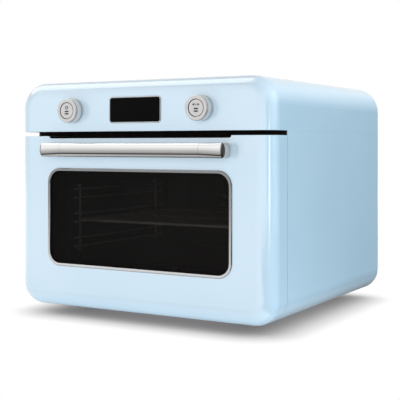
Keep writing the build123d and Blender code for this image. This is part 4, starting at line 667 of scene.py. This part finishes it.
def floor_brightness(paper, spot):
    """One to the camera. In gloss it grows with the distance from the oven."""
    stops = [(radius / MIRRORED_REACH, (level, level, level, 1)) for radius, level in MIRRORED_RINGS]
    distance = paper.point_work("LENGTH", spot)["Value"]
    mirrored = paper.ramp(paper.work("DIVIDE", distance, MIRRORED_REACH), stops)
    choice = paper.add("Mix", {2: 1})
    paper.join(paper.add("LightPath").outputs["Is Glossy Ray"], choice.inputs[0])
    paper.join(mirrored, choice.inputs[3])
    return choice.outputs[0]


def set_floor():
    """A white floor that keeps the soft shadow under the oven. In gloss it looks darker close by."""
    bpy.ops.object.select_all(action="DESELECT")
    bpy.ops.mesh.primitive_plane_add(size=FLOOR_SIZE, location=(0, 0, -FLOOR_DROP))
    floor = bpy.context.object
    floor.name = "floor"
    material = bpy.data.materials.new("floor_paper")
    material.use_nodes = True
    paper = Nodes(material.node_tree)
    paper.tree.nodes.clear()
    spot = paper.add("NewGeometry").outputs["Position"]
    sheet = paper.add("Emission")
    paper.join(floor_shadow(paper), sheet.inputs["Color"])
    paper.join(floor_brightness(paper, spot), sheet.inputs["Strength"])
    bounce = paper.add("Emission")
    across = paper.point_work("DOT_PRODUCT", spot, SHADED_WAY)["Value"]
    strength = paper.spread(across, FLOOR_BOUNCE, SHADED_BOUNCE, SHADED_FROM, SHADED_TO)
    paper.join(strength, bounce.inputs["Strength"])
    show_by_ray(paper, bounce, sheet, paper.add("OutputMaterial"))
    floor.data.materials.append(material)


def aim_turn(place, aim):
    """The turn that points something which looks down -Z from a place to an aim."""
    direction = [a - p for a, p in zip(aim, place)]
    flat = math.hypot(direction[0], direction[1])
    return (math.atan2(flat, -direction[2]), 0, math.atan2(-direction[0], direction[1]))


def softbox(name, place, width, height, glow, colour=(1, 1, 1), mirrored=True, lights=True):
    """A rectangular lamp turned to the oven. Its glow is how bright it looks in a mirror."""
    data = bpy.data.lights.new(name, "AREA")
    data.shape = "RECTANGLE"
    data.size = width
    data.size_y = height
    data.energy = glow * math.pi * width * height
    data.color = colour
    lamp = bpy.data.objects.new(name, data)
    bpy.context.scene.collection.objects.link(lamp)
    lamp.location = place
    lamp.rotation_euler = aim_turn(place, LIGHT_AIM)
    lamp.visible_camera = False
    lamp.visible_transmission = False
    lamp.visible_glossy = mirrored
    lamp.visible_diffuse = lights


def dark_flag(name, place, width, height, level=False, shade=FLAG_BLACK):
    """A dark card that only gloss shows. One that stands up turns to white towards its top."""
    turn = (0, 0, 0) if level else aim_turn(place, LIGHT_AIM)
    bpy.ops.object.select_all(action="DESELECT")
    bpy.ops.mesh.primitive_plane_add(size=1, location=place, rotation=turn)
    flag = bpy.context.object
    flag.name = name
    flag.scale = (width, height, 1)
    card = Finish(name, {"Base Color": BLACK, "Specular IOR Level": 0, "Emission Color": shade,
                         "Emission Strength": 1})
    if not level:
        rise = card.split(card.add("TexCoord").outputs["Generated"])["Y"]
        fade = card.ramp(rise, ((FLAG_FADE_FROM, shade), (1, WHITE)))
        card.join(fade, card.shader.inputs["Emission Color"])
    flag.data.materials.append(card.material)
    flag.visible_camera = False
    flag.visible_diffuse = False
    flag.visible_transmission = False
    flag.visible_shadow = False


def set_lights():
    """Three lamps that gloss doesn't show, three glows that only gloss shows, and flags that darken it."""
    softbox("key_light", place=(0.7, -3.9, 0.9), width=2.5, height=2.5, glow=3.8, colour=(1, 0.77, 0.67),
            mirrored=False)
    softbox("side_light", place=(3.8, 0.5, 1.4), width=2.5, height=2.5, glow=7.3, colour=(0.97, 1, 1),
            mirrored=False)
    softbox("fill_light", place=(-3.4, 1.2, 1.2), width=2.5, height=2.5, glow=2, mirrored=False)
    softbox("front_sheen", place=(-2.1, -3.4, 2.0), width=4, height=3.8, glow=0.5, lights=False)
    softbox("top_sheen", place=(-1.4, -0.1, 2.2), width=1.6, height=2.6, glow=1.55, lights=False)
    softbox("corner_strip", place=(1.77, -0.94, 0.14), width=0.13, height=0.44, glow=6.5, lights=False)
    dark_flag("side_flag", place=(1.9, 2.9, 0.45), width=3.4, height=3.0)
    dark_flag("corner_flag", place=(2.99, -0.26, 0.45), width=5.4, height=3.0)
    dark_flag("floor_flag", place=(1.41, 1.42, 0), width=2.28, height=3.65, level=True)
    dark_flag("near_floor_flag", place=(1.7, -0.9, 0), width=2.6, height=1.0, level=True)
    dark_flag("edge_floor_flag", place=(0.17, 0.145, 0), width=0.2, height=0.71, level=True, shade=FLAG_GREY)


def set_camera():
    data = bpy.data.cameras.new("photo_view")
    data.lens = CAMERA_LENS
    data.shift_x = CAMERA_SHIFT_X
    data.shift_y = CAMERA_SHIFT_Y
    camera = bpy.data.objects.new("photo_view", data)
    camera.location = CAMERA_PLACE
    camera.rotation_euler = (math.radians(90), 0, math.radians(CAMERA_TURN))
    bpy.context.scene.collection.objects.link(camera)
    bpy.context.scene.camera = camera


plastic = grained_plastic()
dress_solids(plastic)
mark_buttons(printed_ink())
plug_and_shade_bar_ends(plastic)
set_world()
set_floor()
set_lights()
set_camera()
bpy.context.scene.view_settings.view_transform = "Standard"
